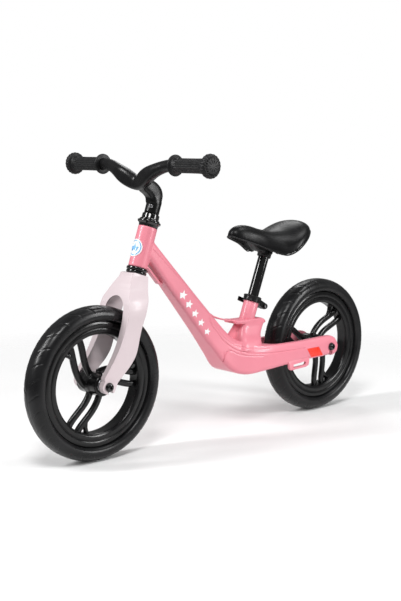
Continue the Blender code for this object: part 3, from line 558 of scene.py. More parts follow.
# Each section of the body in millimetres: x and z of its top and its bottom, half width, how far
# the top is narrower, and the share of its height that the shoulder takes.
BODY_SECTIONS = [
    (165.0, 399.7, 188.2, 377.9, 16.8, 6.0, 0.20),
    (141.1, 374.2, 166.0, 350.9, 17.2, 6.5, 0.20),
    (93.2, 323.2, 121.6, 296.6, 18.3, 7.0, 0.20),
    (45.3, 272.2, 77.1, 242.4, 20.0, 7.5, 0.20),
    (7.7, 232.1, 42.2, 199.7, 22.5, 8.0, 0.20),
    (-17.6, 205.1, 18.7, 171.0, 26.0, 8.0, 0.22),
    (-36, 190, -3, 144, 30.5, 7.5, 0.24),
    (-52, 182, -20, 127.5, 35.3, 6.5, 0.27),
    (-66, 177, -40, 118.5, 40.2, 5.5, 0.30),
    (-82, 173.5, -64, 115.3, 44.6, 4.5, 0.32),
    (-104, 171, -96, 117.5, 48.0, 3.8, 0.34),
    (-130, 169.5, -130, 120, 50.0, 3.2, 0.35),
    (-178, 168.3, -178, 123, 50.0, 3.0, 0.36),
    (-225, 168, -225, 125.5, 50.0, 3.0, 0.36),
    (-290, 169.3, -290, 126.3, 50.0, 3.0, 0.30),
    (-308, 166.5, -305, 124.5, 50.0, 3.0, 0.25),
    (-318, 159.5, -314, 125.5, 50.0, 3.0, 0.20),
    (-323.5, 148, -320, 131, 50.0, 3.0, 0.20),
]
# Front and rear x, height and half width of each level of the seat boss.
BOSS_LEVELS = [
    (-36, -108, 165, 42.0),
    (-46, -109, 180, 36.0),
    (-54, -115, 193, 26.0),
    (-61, -126, 207, 19.5),
    (-64, -129, 212, 18.7),
    (-66, -129, 215, 18.5),
]
BRIM_OUTLINE = [(-44, 219.0), (-60, 217.4), (-100, 216.8), (-128, 213.0), (-131, 215.5),
                (-127.5, 220.5), (-120, 224.3), (-108, 225.0), (-78, 224.5), (-58, 225.0),
                (-44, 226.8)]
WEB_TOP = [(20, 249), (8, 240.8), (-8, 235), (-24, 230.5), (-42, 227), (-58, 225), (-78, 224.5)]
BRACKET_OUTLINE = [(-168, 130), (-168, 127), (-171, 113), (-174, 109.5), (-178, 108.8),
                   (-222, 110.8), (-229, 113.5), (-231, 118), (-231.5, 130)]
BRACKET_SLOT = [(-181, 120.5), (-183.5, 118), (-183, 115.5), (-180.5, 113.8), (-216, 115.3),
                (-220.5, 117.5), (-221, 121), (-218, 123.2)]
REFLECTOR_OUTLINE = [(-222.6, 149.8), (-260, 149.8), (-273.6, 129.6), (-235.9, 129.6)]
REFLECTOR_PAD = [(4.5, 3.0), (-2.5, 3.0), (-4.5, -3.0), (2.5, -3.0)]
STRAP_LOOP_LINE = [(180, 353), (172, 347.8), (168.2, 343.4), (146.3, 318.1), (142.6, 316.8),
                   (138.5, 321.5)]

# Panel lines on the sides of the frame, as (x, z) points in millimetres.
SWEEP_LINE = [(26.8, 246.2), (31.0, 241.5), (31.0, 234.5), (24.3, 222.3), (12.5, 209.0),
              (2.8, 195.7), (-10.4, 183.7), (-23.6, 173.2), (-40.3, 165.5), (-58.1, 160.6),
              (-85.8, 157.0), (-116.1, 154.5), (-148, 153.4), (-201, 152.3), (-219, 152.0)]
WINDOW_LINE = [(26, 238), (17, 223.4), (5.1, 208.2), (-4.7, 196.5), (-16.9, 186.3),
               (-33.5, 177.9), (-54.6, 171.5), (-82, 167.0), (-112, 165.0)]
LOWER_LINE = [(-19.4, 169.0), (-36.0, 160.0), (-53.8, 155.1), (-72.7, 152.6), (-93.8, 150.8)]
RIDGE_LINE = [(170, 384.5), (135.5, 352.2), (96.3, 313.6), (55.9, 273.7), (27.1, 245.8)]
PANEL_LINE = [(0.2, 130.0), (0.0, 138.0), (-0.9, 149.6), (-3.0, 159.5), (-7.0, 166.2),
              (-13.0, 169.5), (-19.4, 169.0)]

# Each panel line with its width in millimetres and its depth in metres.
PANEL_GROOVES = [(SWEEP_LINE, 1.0, 0.0012), (WINDOW_LINE, 0.9, 0.0008), (LOWER_LINE, 0.9, 0.0009),
                 (PANEL_LINE, 1.1, 0.0016), (RIDGE_LINE, 0.9, 0.0007)]


def body_ring(row):
    """One cross-section: a flat top, a sloping shoulder, flat sides and a rounded keel."""
    top_x, top_z, low_x, low_z, half, flat, share = row
    top = Vector((top_x, 0, top_z)) * MM
    low = Vector((low_x, 0, low_z)) * MM
    down = low - top
    height = down.length
    corner = min(0.16, 0.0055 / height)
    half *= MM
    flat *= MM
    outline = [(0, 0), (half - flat, 0), (half - flat * 0.4, share * 0.42), (half, share),
               (half, 0.5), (half, 1 - corner * 1.3), (half - 0.0018, 1 - corner * 0.5),
               (half - 0.0055, 1), (0, 1)]
    other = [(-y, t) for y, t in reversed(outline[1:-1])]
    return [top + down * t + LEFT * y for y, t in outline + other]


def groove(points, line, width, depth):
    """How far each point sinks into a soft groove along a line."""
    return depth * np.exp(-(line_distance(points, line) / width) ** 2)


def refine_along(mesh, lines, reach):
    """Splits the faces near the panel lines, so that the lines come out crisp."""
    bm = bmesh.new()
    bm.from_mesh(mesh)
    bm.verts.ensure_lookup_table()
    flat = np.array([(v.co.x / MM, v.co.z / MM) for v in bm.verts])
    near = np.zeros(len(flat), dtype=bool)
    for line in lines:
        near |= line_distance(flat, line) < reach
    sides = np.array([abs(v.co.y) > 0.014 and abs(v.normal.y) > 0.4 for v in bm.verts])
    near &= sides
    edges = [e for e in bm.edges if near[e.verts[0].index] and near[e.verts[1].index]]
    bmesh.ops.subdivide_edges(bm, edges=edges, cuts=1, use_grid_fill=True)
    bm.to_mesh(mesh)
    bm.free()


class BIKE_OT_frame(bpy.types.Operator):
    """Build the cast frame with its panel lines, seat boss, strap tabs and loop"""
    bl_idname = "bike.frame"
    bl_label = "Frame"

    def execute(self, context):
        rings = [body_ring(row) for row in eased(BODY_SECTIONS, 4)]
        body = loose(skinned(rings), "frame_body")
        inner = 36.0
        gap = [(-400, -inner)] + arc((-116 - inner, 0), inner, -90, 90, 48) + [(-400, inner)]
        combine(body, [loose(flat_shape(gap, 0.05, 0.3, "XY"))], "DIFFERENCE")
        boss = []
        for front, rear, height, half in eased(BOSS_LEVELS, 4):
            centre = Vector(((front + rear) / 2 * MM, 0, height * MM))
            boss.append(superellipse(centre, FORWARD * (front - rear) / 2 * MM, LEFT * half * MM,
                                     4.4, 64))
        web = WEB_TOP + [(x - 1, z - 3.6) for x, z in reversed(WEB_TOP)]
        brim = flat_shape(BRIM_OUTLINE, -0.0185, 0.0185)
        upright = [e for e in brim.edges if abs(e.verts[0].co.y - e.verts[1].co.y) < 1e-6]
        bmesh.ops.bevel(brim, geom=[e for e in upright if e.verts[0].co.x < -0.118
                                    and e.verts[1].co.x < -0.118], offset=0.002, segments=2,
                        profile=0.5, affect="EDGES", material=-1, offset_type="OFFSET")
        parts = [rod(HEAD_FOOT, HEAD_FOOT + HEAD_AXIS * HEAD_LENGTH, 0.0184, 96), skinned(boss),
                 brim, flat_shape(web, -0.0092, 0.0092)]
        for side in (-1, 1):
            raised = [(x + dx, z + dz) for (x, z), (dx, dz) in
                      zip(REFLECTOR_OUTLINE, REFLECTOR_PAD)]
            parts.append(side_plate(raised, side, 0.048, 0.0506))
        combine(body, [loose(part) for part in parts])
        reskin(body, 0.0016, 4)
        hub = HUBS["rear"]
        cuts = [
            rod(hub - LEFT * CLEAR, hub + LEFT * CLEAR, AXLE_SLOT, 32),
            box_between((hub.x - AXLE_SLOT, -CLEAR, hub.z - 0.04),
                        (hub.x + AXLE_SLOT, CLEAR, hub.z)),
            rod(HEAD_FOOT - HEAD_AXIS * 0.02, HEAD_FOOT + HEAD_AXIS * (HEAD_LENGTH + 0.02), 0.0149,
                64),
            rod(SEAT_TUBE_TOP - SEAT_AXIS * 0.122, SEAT_TUBE_TOP + SEAT_AXIS * 0.03, 0.0140, 64),
        ]
        for side in (-1, 1):
            cuts.append(side_plate(REFLECTOR_OUTLINE, side, 0.0488, CLEAR))
        combine(body, [loose(part) for part in cuts], "DIFFERENCE")
        refine_along(body.data, [line for line, _, _ in PANEL_GROOVES], 4.5)
        places, normals = mesh_arrays(body.data)
        flat = places[:, [0, 2]] / MM
        outer = (np.abs(places[:, 1]) > 0.013) & (normals[:, 1] * np.sign(places[:, 1]) > 0.25)
        sink = np.maximum.reduce([groove(flat, *row) for row in PANEL_GROOVES])
        # The panel ahead of the upright line steps down and fades out forwards.
        ahead = np.clip(1 - (flat[:, 0] + 1.0) / 22.0, 0, 1) * (flat[:, 0] > -1.5)
        ahead *= (flat[:, 1] < 168) * (flat[:, 1] > 118)
        sink = np.where(outer, sink + 0.0009 * ahead ** 2, 0)
        places -= normals * sink[:, None]
        store_places(body.data, places)
        finish_piece(body, "frame_shell", "frame_paint", "frame", ("frame",), sharp=50)
        self.fittings()
        return {"FINISHED"}

    def fittings(self):
        """The split seat tube, the strap tabs under the stays and the loop under the down tube."""
        tube = [(0.0138, -0.060), (0.0157, -0.060), (0.0157, 0.0080), (0.0138, 0.0080)]
        seat_tube = loose(spun(tube, 96, SEAT_PLACE, 0.0004))
        split = box_between((-0.03, -0.0012, -0.022), (0, 0.0012, 0.03), SEAT_PLACE)
        combine(seat_tube, [loose(split)], "DIFFERENCE")
        self.painted(seat_tube, "seat_tube")
        line = [Vector(point) * MM for point in STRAP_LOOP_LINE]
        loop = flat_shape(ribbon(line, 0.0040), -0.0062, 0.0062)
        self.painted(loose(soften(loop, 0.0008)), "strap_loop")
        for side, name in SIDES:
            tab = loose(soften(side_plate(BRACKET_OUTLINE, side, 0.0440, 0.0497), 0.0008))
            combine(tab, [loose(side_plate(BRACKET_SLOT, side, 0.03, CLEAR))], "DIFFERENCE")
            self.painted(tab, f"strap_tab_{name}")

    def painted(self, piece, name):
        finish_piece(piece, name, "frame_paint", "frame", sharp=40)


def star_points(centre, size, turn, inner=0.42):
    """The ten corners of a five-pointed star in a plane."""
    points = []
    for i in range(10):
        radius = size if i % 2 == 0 else size * inner
        angle = turn + math.pi * i / 5
        points.append((centre[0] + radius * math.cos(angle), centre[1] + radius * math.sin(angle)))
    return points


def even_grid(bm, cuts):
    """Splits a flat shape into small faces, so that it can follow a curved surface."""
    bmesh.ops.triangulate(bm, faces=bm.faces)
    for _ in range(cuts):
        bmesh.ops.subdivide_edges(bm, edges=bm.edges, cuts=1, use_grid_fill=True)
    return bm


class BIKE_OT_motif(bpy.types.Operator):
    """Print a row of plain stars along each side of the down tube"""
    bl_idname = "bike.motif"
    bl_label = "Star row"

    def execute(self, context):
        start = Vector((98.0, 292.5))
        end = Vector((38.0, 214.0))
        heading = math.atan2(end.y - start.y, end.x - start.x)
        for side, name in SIDES:
            bm = bmesh.new()
            for i, size in enumerate((10.2, 9.6, 9.0, 8.4, 7.8)):
                centre = start.lerp(end, i / 4)
                outline = star_points(centre, size, heading + QUARTER_TURN)
                corners = [bm.verts.new((x * MM, side * 0.032, z * MM)) for x, z in outline]
                bm.faces.new(corners)
            even_grid(bm, 3)
            stars = loose(bm, "stars")
            wrap = stars.modifiers.new("wrap", "SHRINKWRAP")
            wrap.wrap_method = "PROJECT"
            wrap.use_project_y = True
            wrap.use_negative_direction = True
            wrap.use_positive_direction = True
            wrap.target = bpy.data.objects["frame_shell"]
            wrap.offset = 0.00018
            settle(stars)
            finish_piece(stars, f"star_row_{name}", "motif_white", "frame")
        return {"FINISHED"}


def wrapped_on_head(bm, radius, height):
    """Bends a flat shape, drawn across (y, z) about a point, round the head tube."""
    for vert in bm.verts:
        angle = vert.co.y / radius
        vert.co = Vector((radius * math.cos(angle), radius * math.sin(angle), vert.co.z + height))
    bmesh.ops.transform(bm, verts=bm.verts, matrix=HEAD_PLACE)
    return bm


class BIKE_OT_badge(bpy.types.Operator):
    """Wrap a plain enamel disc with a star round the front of the head tube"""
    bl_idname = "bike.badge"
    bl_label = "Head badge"

    def execute(self, context):
        height = 0.0345
        for name, size, radius, wall, colour, is_star in (
                ("badge_disc", 0.0170, 0.0190, 0.0007, "motif_white", False),
                ("badge_ring", 0.0150, 0.0191, 0.0008, "badge_blue", False),
                ("badge_field", 0.0128, 0.0192, 0.0009, "motif_white", False),
                ("badge_star", 0.0092, 0.0193, 0.0010, "badge_blue", True)):
            bm = bmesh.new()
            if is_star:
                corners = star_points((0, 0), size, QUARTER_TURN)
            else:
                corners = arc((0, 0), size, 0, 360, 64)[:-1]
            bm.faces.new([bm.verts.new((0, y, z)) for y, z in corners])
            if is_star:
                even_grid(bm, 3)
            else:
                bmesh.ops.triangulate(bm, faces=bm.faces)
                for _ in range(3):
                    longest = [e for e in bm.edges if e.calc_length() > 0.0025]
                    bmesh.ops.subdivide_edges(bm, edges=longest, cuts=1)
                    bmesh.ops.triangulate(bm, faces=bm.faces)
            wrapped_on_head(bm, radius, height)
            bmesh.ops.recalc_face_normals(bm, faces=bm.faces)
            middle = HEAD_PLACE @ Vector((0, 0, height))
            face = max(bm.faces, key=lambda f: (f.calc_center_median() - middle).length)
            if face.normal.dot(face.calc_center_median() - middle) < 0:
                bmesh.ops.reverse_faces(bm, faces=bm.faces)
            piece = loose(bm, name)
            shell = piece.modifiers.new("wall", "SOLIDIFY")
            shell.thickness = wall
            shell.offset = -1
            settle(piece)
            finish_piece(piece, name, colour, "frame",
                         ("head_badge",) if name == "badge_disc" else ())
        return {"FINISHED"}


class BIKE_OT_reflectors(bpy.types.Operator):
    """Set a prismatic lens in the pad on the outside of each stay"""
    bl_idname = "bike.reflectors"
    bl_label = "Reflectors"

    def execute(self, context):
        centre = Vector((-248, 139.7))
        outline = []
        for x, z in REFLECTOR_OUTLINE:
            away = Vector((x, z)) - centre
            away *= (away.length - 0.5) / away.length
            outline.append(tuple(centre + away))
        for side, name in SIDES:
            bm = soften(side_plate(outline, side, 0.0489, 0.0508), 0.0004, 3)
            finish_piece(loose(bm), f"reflector_lens_{name}", "reflector_lens", "frame",
                         (f"reflector_{name}",))
        return {"FINISHED"}


# ---------------------------------------------------------------- steering

class BIKE_OT_headset(bpy.types.Operator):
    """Turn the headset cups, the crown race, the lock nut and the steel bearings"""
    bl_idname = "bike.headset"
    bl_label = "Headset"

    def execute(self, context):
        top = HEAD_LENGTH
        sleeve = 0.0147
        rings = {
            "headset_lower_cup": ("frame", [
                (0.0138, -0.0062), (0.0190, -0.0062), (0.0203, -0.0050), (0.0205, -0.0030),
                (0.0202, -0.0012), (0.0192, -0.0003), (sleeve, -0.0003), (sleeve, 0.012),
                (0.0138, 0.012)]),
            "headset_upper_cup": ("frame", [
                (0.0138, top - 0.012), (sleeve, top - 0.012), (sleeve, top + 0.0003),
                (0.0181, top + 0.0003), (0.0186, top + 0.0048), (0.0202, top + 0.0066),
                (0.0222, top + 0.0082), (0.0224, top + 0.0098), (0.0222, top + 0.0112),
                (0.0208, top + 0.0120), (0.0138, top + 0.0120)]),
            "crown_race": ("fork", [
                (0.0130, -0.0122), (0.0184, -0.0122), (0.0195, -0.0110), (0.0197, -0.0095),
                (0.0195, -0.0080), (0.0186, -0.0068), (0.0130, -0.0068)]),
            "headset_lock_nut": ("fork", [
                (0.0130, top + 0.0124), (0.0190, top + 0.0124), (0.0192, top + 0.0134),
                (0.0190, top + 0.0146), (0.0170, top + 0.0158), (0.0166, top + 0.0168),
                (0.0165, top + 0.0240), (0.0160, top + 0.0252), (0.0130, top + 0.0254)]),
        }
        for node, (body, profile) in rings.items():
            bm = spun(profile, 96, HEAD_PLACE, 0.0003)
            finish_piece(loose(bm), f"{node}_turned", "gloss_black", body, (node,))
        repaint("bright_steel", "headset_bearing_lower", "headset_bearing_upper")
        return {"FINISHED"}


STEERER_RADIUS = 0.0127
STEERER_BORE = 0.0108

# Half of the fork from the front as (y, z) points, and its edges from the side as (x, z) points.
FORK_FRONT = [(17.5, 345), (19.0, 338), (25.0, 327), (33.3, 311), (42, 296), (45.3, 283),
              (46.4, 268), (46, 240), (46, 120)]
FORK_SIDE_FRONT = [(222, 346), (226, 336), (236, 321), (246, 301), (251, 284), (255.5, 262),
                   (261, 244), (271, 220), (284, 197), (298, 177), (309, 162)]
FORK_SIDE_REAR = [(284, 141), (279, 151), (266, 163), (250, 178), (238, 194), (232, 210),
                  (227.5, 228), (222, 246), (214, 266), (207, 286), (197, 312), (186, 336),
                  (183, 343)]


class BIKE_OT_fork(bpy.types.Operator):
    """Build the broad crown, the curved blades and the steerer"""
    bl_idname = "bike.fork"
    bl_label = "Fork"

    def execute(self, context):
        half, front_edge, rear_edge = ([tuple(row) for row in eased(line, 4)]
                                       for line in (FORK_FRONT, FORK_SIDE_FRONT, FORK_SIDE_REAR))
        outer = half + [(-y, z) for y, z in reversed(half)]
        hub = HUBS["front"]
        tip = arc((hub.x / MM, hub.z / MM), 13.5, 50, -95, 24)
        side = front_edge + tip + [(288, 133)] + rear_edge
        body = loose(flat_shape(side, -CLEAR, CLEAR), "fork_body")
        combine(body, [loose(flat_shape(outer, 0.15, 0.35, "YZ"))], "INTERSECT")
        crown_top = Matrix.Translation(HEAD_AXIS * -0.0125) @ HEAD_PLACE
        above = box_between((-0.1, -0.1, 0), (0.1, 0.1, 0.1), crown_top)
        combine(body, [loose(above)], "DIFFERENCE")
        bm = bmesh.new()
        bm.from_mesh(body.data)
        bmesh.ops.remove_doubles(bm, verts=bm.verts, dist=1e-5)
        soften(bm, 0.0020, 3, 30)
        bm.to_mesh(body.data)
        bm.free()
        arch = arc((0, 276), 28, 0, 180, 48) + [(-34, 170), (-34, 100), (34, 100), (34, 170)]
        turn = Matrix.Translation(hub) @ Matrix.Rotation(math.radians(18), 4, "Y")
        combine(body, [
            loose(flat_shape(arch, 0.14, 0.36, "YZ")),
            loose(rod(hub - LEFT * CLEAR, hub + LEFT * CLEAR, AXLE_SLOT, 32)),
            loose(box_between((-AXLE_SLOT, -CLEAR, -0.03), (AXLE_SLOT, CLEAR, 0), turn)),
            loose(rod(HEAD_FOOT - HEAD_AXIS * 0.012, HEAD_FOOT + HEAD_AXIS * 0.15,
                      STEERER_BORE, 64)),
        ], "DIFFERENCE")
        finish_piece(body, "fork_shell", "fork_paint", "fork", ("fork",), sharp=35)
        foot, top = -0.0140, 0.1350
        tube = [(STEERER_BORE, foot), (STEERER_RADIUS, foot), (STEERER_RADIUS, top),
                (STEERER_BORE, top)]
        finish_piece(loose(spun(tube, 96, HEAD_PLACE, 0.0003)), "steerer_tube", "gloss_black",
                     "fork", ("fork",), sharp=35)
        return {"FINISHED"}


# The middle line of one half of the bar: y, x, z, half thickness and half height.
BAR_LINE = [
    (0, 192.0, 510.0, 10.5, 13.0), (10, 193.6, 512.5, 10.5, 13.0), (20, 196.1, 517.2, 10.6, 13.2),
    (30, 198.0, 522.2, 10.8, 13.4), (40, 199.2, 527.3, 11.0, 13.4), (50, 198.8, 531.9, 11.1, 13.0),
    (60, 197.6, 535.8, 11.1, 12.4), (70, 195.9, 539.2, 11.1, 11.8), (80, 194.2, 541.9, 11.1, 11.3),
    (92, 193.3, 543.9, 11.1, 11.1), (104, 193.2, 544.3, 11.1, 11.1),
    (154, 193.2, 544.3, 11.1, 11.1), (204, 193.2, 544.3, 11.1, 11.1)]
# Back and front of each section of the neck as x, z points, then its half width and squareness.
NECK_SECTIONS = [
    (144.1, 465.5, 170.3, 474.6, 14.2, 2.2), (141.0, 475.7, 170.0, 482.0, 14.0, 2.8),
    (139.5, 486, 172.5, 486, 13.5, 3.6), (142.5, 497.5, 177, 490, 13.5, 4.0),
    (150.5, 507.5, 183, 494, 13.5, 4.0), (162.5, 515.0, 188, 498.5, 13.5, 4.0),
    (177, 520.5, 192, 500.5, 13.5, 3.6), (191, 523, 198, 502.5, 13.0, 3.0)]


# Where the bar is forged squarest, and how fast it turns round again, in millimetres.
FORGED_AT = 26
FORGED_SPREAD = 22
COLUMN_FOOT = 0.1052
COLUMN_TOP = 0.1312


class BIKE_OT_handlebar(bpy.types.Operator):
    """Forge the column sleeve, the gooseneck and the swept bar"""
    bl_idname = "bike.handlebar"
    bl_label = "Handlebar"

    def execute(self, context):
        half = eased(BAR_LINE, 4)
        other = half[:0:-1] * np.array([-1, 1, 1, 1, 1])
        line = np.vstack([other, half])
        centres = [Vector((x, y, z)) * MM for y, x, z, _, _ in line]
        rings = []
        for i, (_, _, _, thick, tall) in enumerate(line):
            along = centres[min(i + 1, len(line) - 1)] - centres[max(i - 1, 0)]
            along.normalize()
            up = along.cross(FORWARD).normalized()
            ahead = up.cross(along).normalized()
            forged = math.exp(-((abs(line[i][0]) - FORGED_AT) / FORGED_SPREAD) ** 2)
            thick *= (1 - 0.06 * forged) * MM
            tall *= (1 + 0.14 * forged) * MM
            rings.append(superellipse(centres[i], ahead * thick, up * tall, 2 + 1.8 * forged, 48))
        neck = []
        for back_x, back_z, front_x, front_z, width, power in eased(NECK_SECTIONS, 4):
            back = Vector((back_x, 0, back_z)) * MM
            front = Vector((front_x, 0, front_z)) * MM
            neck.append(superellipse((back + front) / 2, LEFT * width * MM, (front - back) / 2,
                                     power, 48))
        foot = HEAD_FOOT + HEAD_AXIS * COLUMN_FOOT
        column = rod(foot, HEAD_FOOT + HEAD_AXIS * COLUMN_TOP, 0.0143, 96)
        body = gathered([skinned(rings), skinned(neck), column], "bar")
        reskin(body, 0.0011, 9)
        bore = rod(foot - HEAD_AXIS * 0.01, HEAD_FOOT + HEAD_AXIS * 0.137, 0.0130, 64)
        combine(body, [loose(bore)], "DIFFERENCE")
        finish_piece(body, "bar_and_neck", "satin_black", "handlebar", ("handlebar",), sharp=60)
        place = (HEAD_PLACE @ Matrix.Translation((0, 0, 0.1168))
                 @ Matrix.Rotation(math.radians(38), 4, "Z") @ Matrix.Rotation(QUARTER_TURN, 4, "Y")
                 @ Matrix.Translation((0, 0, 0.0004)))
        head = [(0, 0.0142), (0.0036, 0.0142), (0.0036, 0.0186), (0.0032, 0.0194), (0.0022, 0.0196),
                (0, 0.0196)]
        screw = loose(spun(head, 48, place, 0.0002))
        socket = bmesh.new()
        bmesh.ops.create_cone(socket, cap_ends=True, segments=6, radius1=0.0018, radius2=0.0018,
                              depth=0.004, matrix=place @ Matrix.Translation((0, 0, 0.0196)))
        combine(screw, [loose(socket)], "DIFFERENCE")
        finish_piece(screw, "column_screw", "bright_steel", "handlebar", ("column_clamp_bolt",),
                     sharp=30)
        return {"FINISHED"}


FLUTES = 22
KNOB_DIMPLES = 20


class BIKE_OT_grips(bpy.types.Operator):
    """Mould the fluted grips with their flanges and end knobs"""
    bl_idname = "bike.grips"
    bl_label = "Grips"

    def execute(self, context):
        outline = [(0.0114, 0), (0.0160, 0.0000), (0.0182, 0.0004), (0.0193, 0.0014),
                   (0.0196, 0.0026), (0.0192, 0.0038), (0.0176, 0.0049), (0.0152, 0.0060),
                   (0.0142, 0.0074), (0.0136, 0.0100), (0.0134, 0.0150), (0.0133, 0.0350),
                   (0.0133, 0.0600), (0.0136, 0.0780), (0.0139, 0.0850), (0.0144, 0.0876),
                   (0.0162, 0.0890), (0.0192, 0.0900), (0.0208, 0.0912), (0.0216, 0.0930),
                   (0.0218, 0.0952), (0.0216, 0.0974), (0.0208, 0.0992), (0.0192, 0.1006),
                   (0.0168, 0.1016), (0.0135, 0.1024), (0.0080, 0.1029), (0.0, 0.1030),
                   (0.0, 0.0985), (0.0114, 0.0985)]
        outer = [tuple(row) for row in eased(outline[:28], 5)]
        profile = [(max(radius, 0.0), height) for radius, height in outer] + outline[28:]
        face = 0.098  # height at which the end knob turns to its face
        for side, name in SIDES:
            grip = loose(spun(profile, 180))
            places, _ = mesh_arrays(grip.data)
            radius = np.hypot(places[:, 0], places[:, 1])
            turn = np.arctan2(places[:, 1], places[:, 0])
            height = places[:, 2]
            sleeve = (np.clip((height - 0.010) / 0.004, 0, 1)
                      * np.clip((0.082 - height) / 0.004, 0, 1))
            flutes = 0.5 - 0.5 * np.cos(turn * FLUTES)
            rings = 0.5 - 0.5 * np.cos((height - 0.0462) / 0.0180 * 2 * math.pi)
            sink = 0.0012 * sleeve * flutes * (0.6 + 0.4 * rings)
            rim = np.exp(-((height - 0.0952) / 0.0035) ** 2) * (radius > 0.019)
            sink += 0.0016 * rim * (0.5 - 0.5 * np.cos(turn * KNOB_DIMPLES)) ** 2
            dimple = np.exp(-((radius - 0.0160) / 0.0016) ** 2) * (height > face)
            sink += 0.0016 * dimple * (0.5 + 0.5 * np.cos(turn * KNOB_DIMPLES)) ** 2
            slit = np.exp(-((radius - 0.0090) / 0.0032) ** 2) * (height > face)
            sink += 0.0008 * slit * (0.5 + 0.5 * np.cos(turn * KNOB_DIMPLES / 2)) ** 4
            scale = np.where(radius > 0.0120, 1 - sink / np.maximum(radius, 1e-6), 1.0)
            places[:, 0] *= scale
            places[:, 1] *= scale
            places[:, 2] -= np.where(height > face, sink, 0)
            store_places(grip.data, places)
            start = Vector((GRIP_START.x, side * GRIP_START.y, GRIP_START.z))
            place = Matrix.Translation(start) @ Matrix.Rotation(-side * QUARTER_TURN, 4, "X")
            grip.data.transform(place)
            finish_piece(grip, f"grip_{name}_moulded", "grip_rubber", "handlebar",
                         (f"grip_{name}",), sharp=60)
        return {"FINISHED"}


# ---------------------------------------------------------------- wheels

TYRE_RADIUS = HUB_HEIGHT
TYRE_HALF_WIDTH = 0.0237
RIM_INNER = 0.093
HUB_RADIUS = 0.020
SPOKE_SWEEP = math.radians(32)
SPOKE_SPACING = 0.0232
SPOKE_RADII = [0.0150, 0.022, 0.030, 0.038, 0.046, 0.054, 0.062, 0.070, 0.078, 0.086, 0.0955]
# The short branch of a spoke, as (radius, distance to its side) points.
SPOKE_BRANCH = [(0.060, 0.001), (0.067, -0.003), (0.074, -0.0095), (0.081, -0.0185),
                (0.0875, -0.0285), (0.0935, -0.0390)]
SPOKE_PHASE = {"front": math.radians(62), "rear": math.radians(22)}

# The body that holds each axle, and how far out its outer and inner faces are.
AXLE_SEATS = {"front": ("fork", 0.046, 0.034), "rear": ("frame", 0.050, 0.036)}

# One side of the tyre's and the rim's sections, as (radius, distance from the middle) points.
TYRE_HALF = [(0.1118, 0.0100), (0.1140, 0.0126), (0.1168, 0.0136), (0.1180, 0.0150),
             (0.1184, 0.0175), (0.1196, 0.0200), (0.1222, 0.0225), (0.1262, 0.0237),
             (0.1306, 0.0236), (0.1350, 0.0222), (0.1388, 0.0196), (0.1418, 0.0158),
             (0.1437, 0.0110), (0.1447, 0.0056), (0.1450, 0.0)]
RIM_HALF = [(0.0932, 0.0), (0.0928, 0.0060), (0.0930, 0.0118), (0.0938, 0.0140),
            (0.0956, 0.0154), (0.0985, 0.0160), (0.1030, 0.0161), (0.1042, 0.0158),
            (0.1048, 0.0150), (0.1056, 0.0150), (0.1062, 0.0158), (0.1074, 0.0164),
            (0.1120, 0.0168), (0.1152, 0.0165), (0.1170, 0.0154), (0.1172, 0.0136),
            (0.1150, 0.0128), (0.1115, 0.0098), (0.1112, 0.0)]


def spoke_point(radius, phase, offset):
    """A point of a swept spoke: it trails its rim end near the hub and is offset sideways."""
    def centre(r):
        share = max(0.0, (RIM_INNER - r) / (RIM_INNER - HUB_RADIUS))
        angle = phase - SPOKE_SWEEP * share ** 1.9
        return Vector((r * math.cos(angle), r * math.sin(angle)))
    along = (centre(radius + 0.001) - centre(radius - 0.001)).normalized()
    return centre(radius) + Vector((-along.y, along.x)) * offset


def spoke_bar(points, width, depth):
    """A rounded bar, flat in the wheel's plane, along (x, z) points about the hub."""
    rings = []
    for i, point in enumerate(points):
        along = (points[min(i + 1, len(points) - 1)] - points[max(i - 1, 0)]).normalized()
        centre = Vector((point.x, 0, point.y))
        aside = Vector((-along.y, 0, along.x)) * width / 2
        rings.append(superellipse(centre, aside, LEFT * depth, 3.0, 24))
    return skinned(rings)


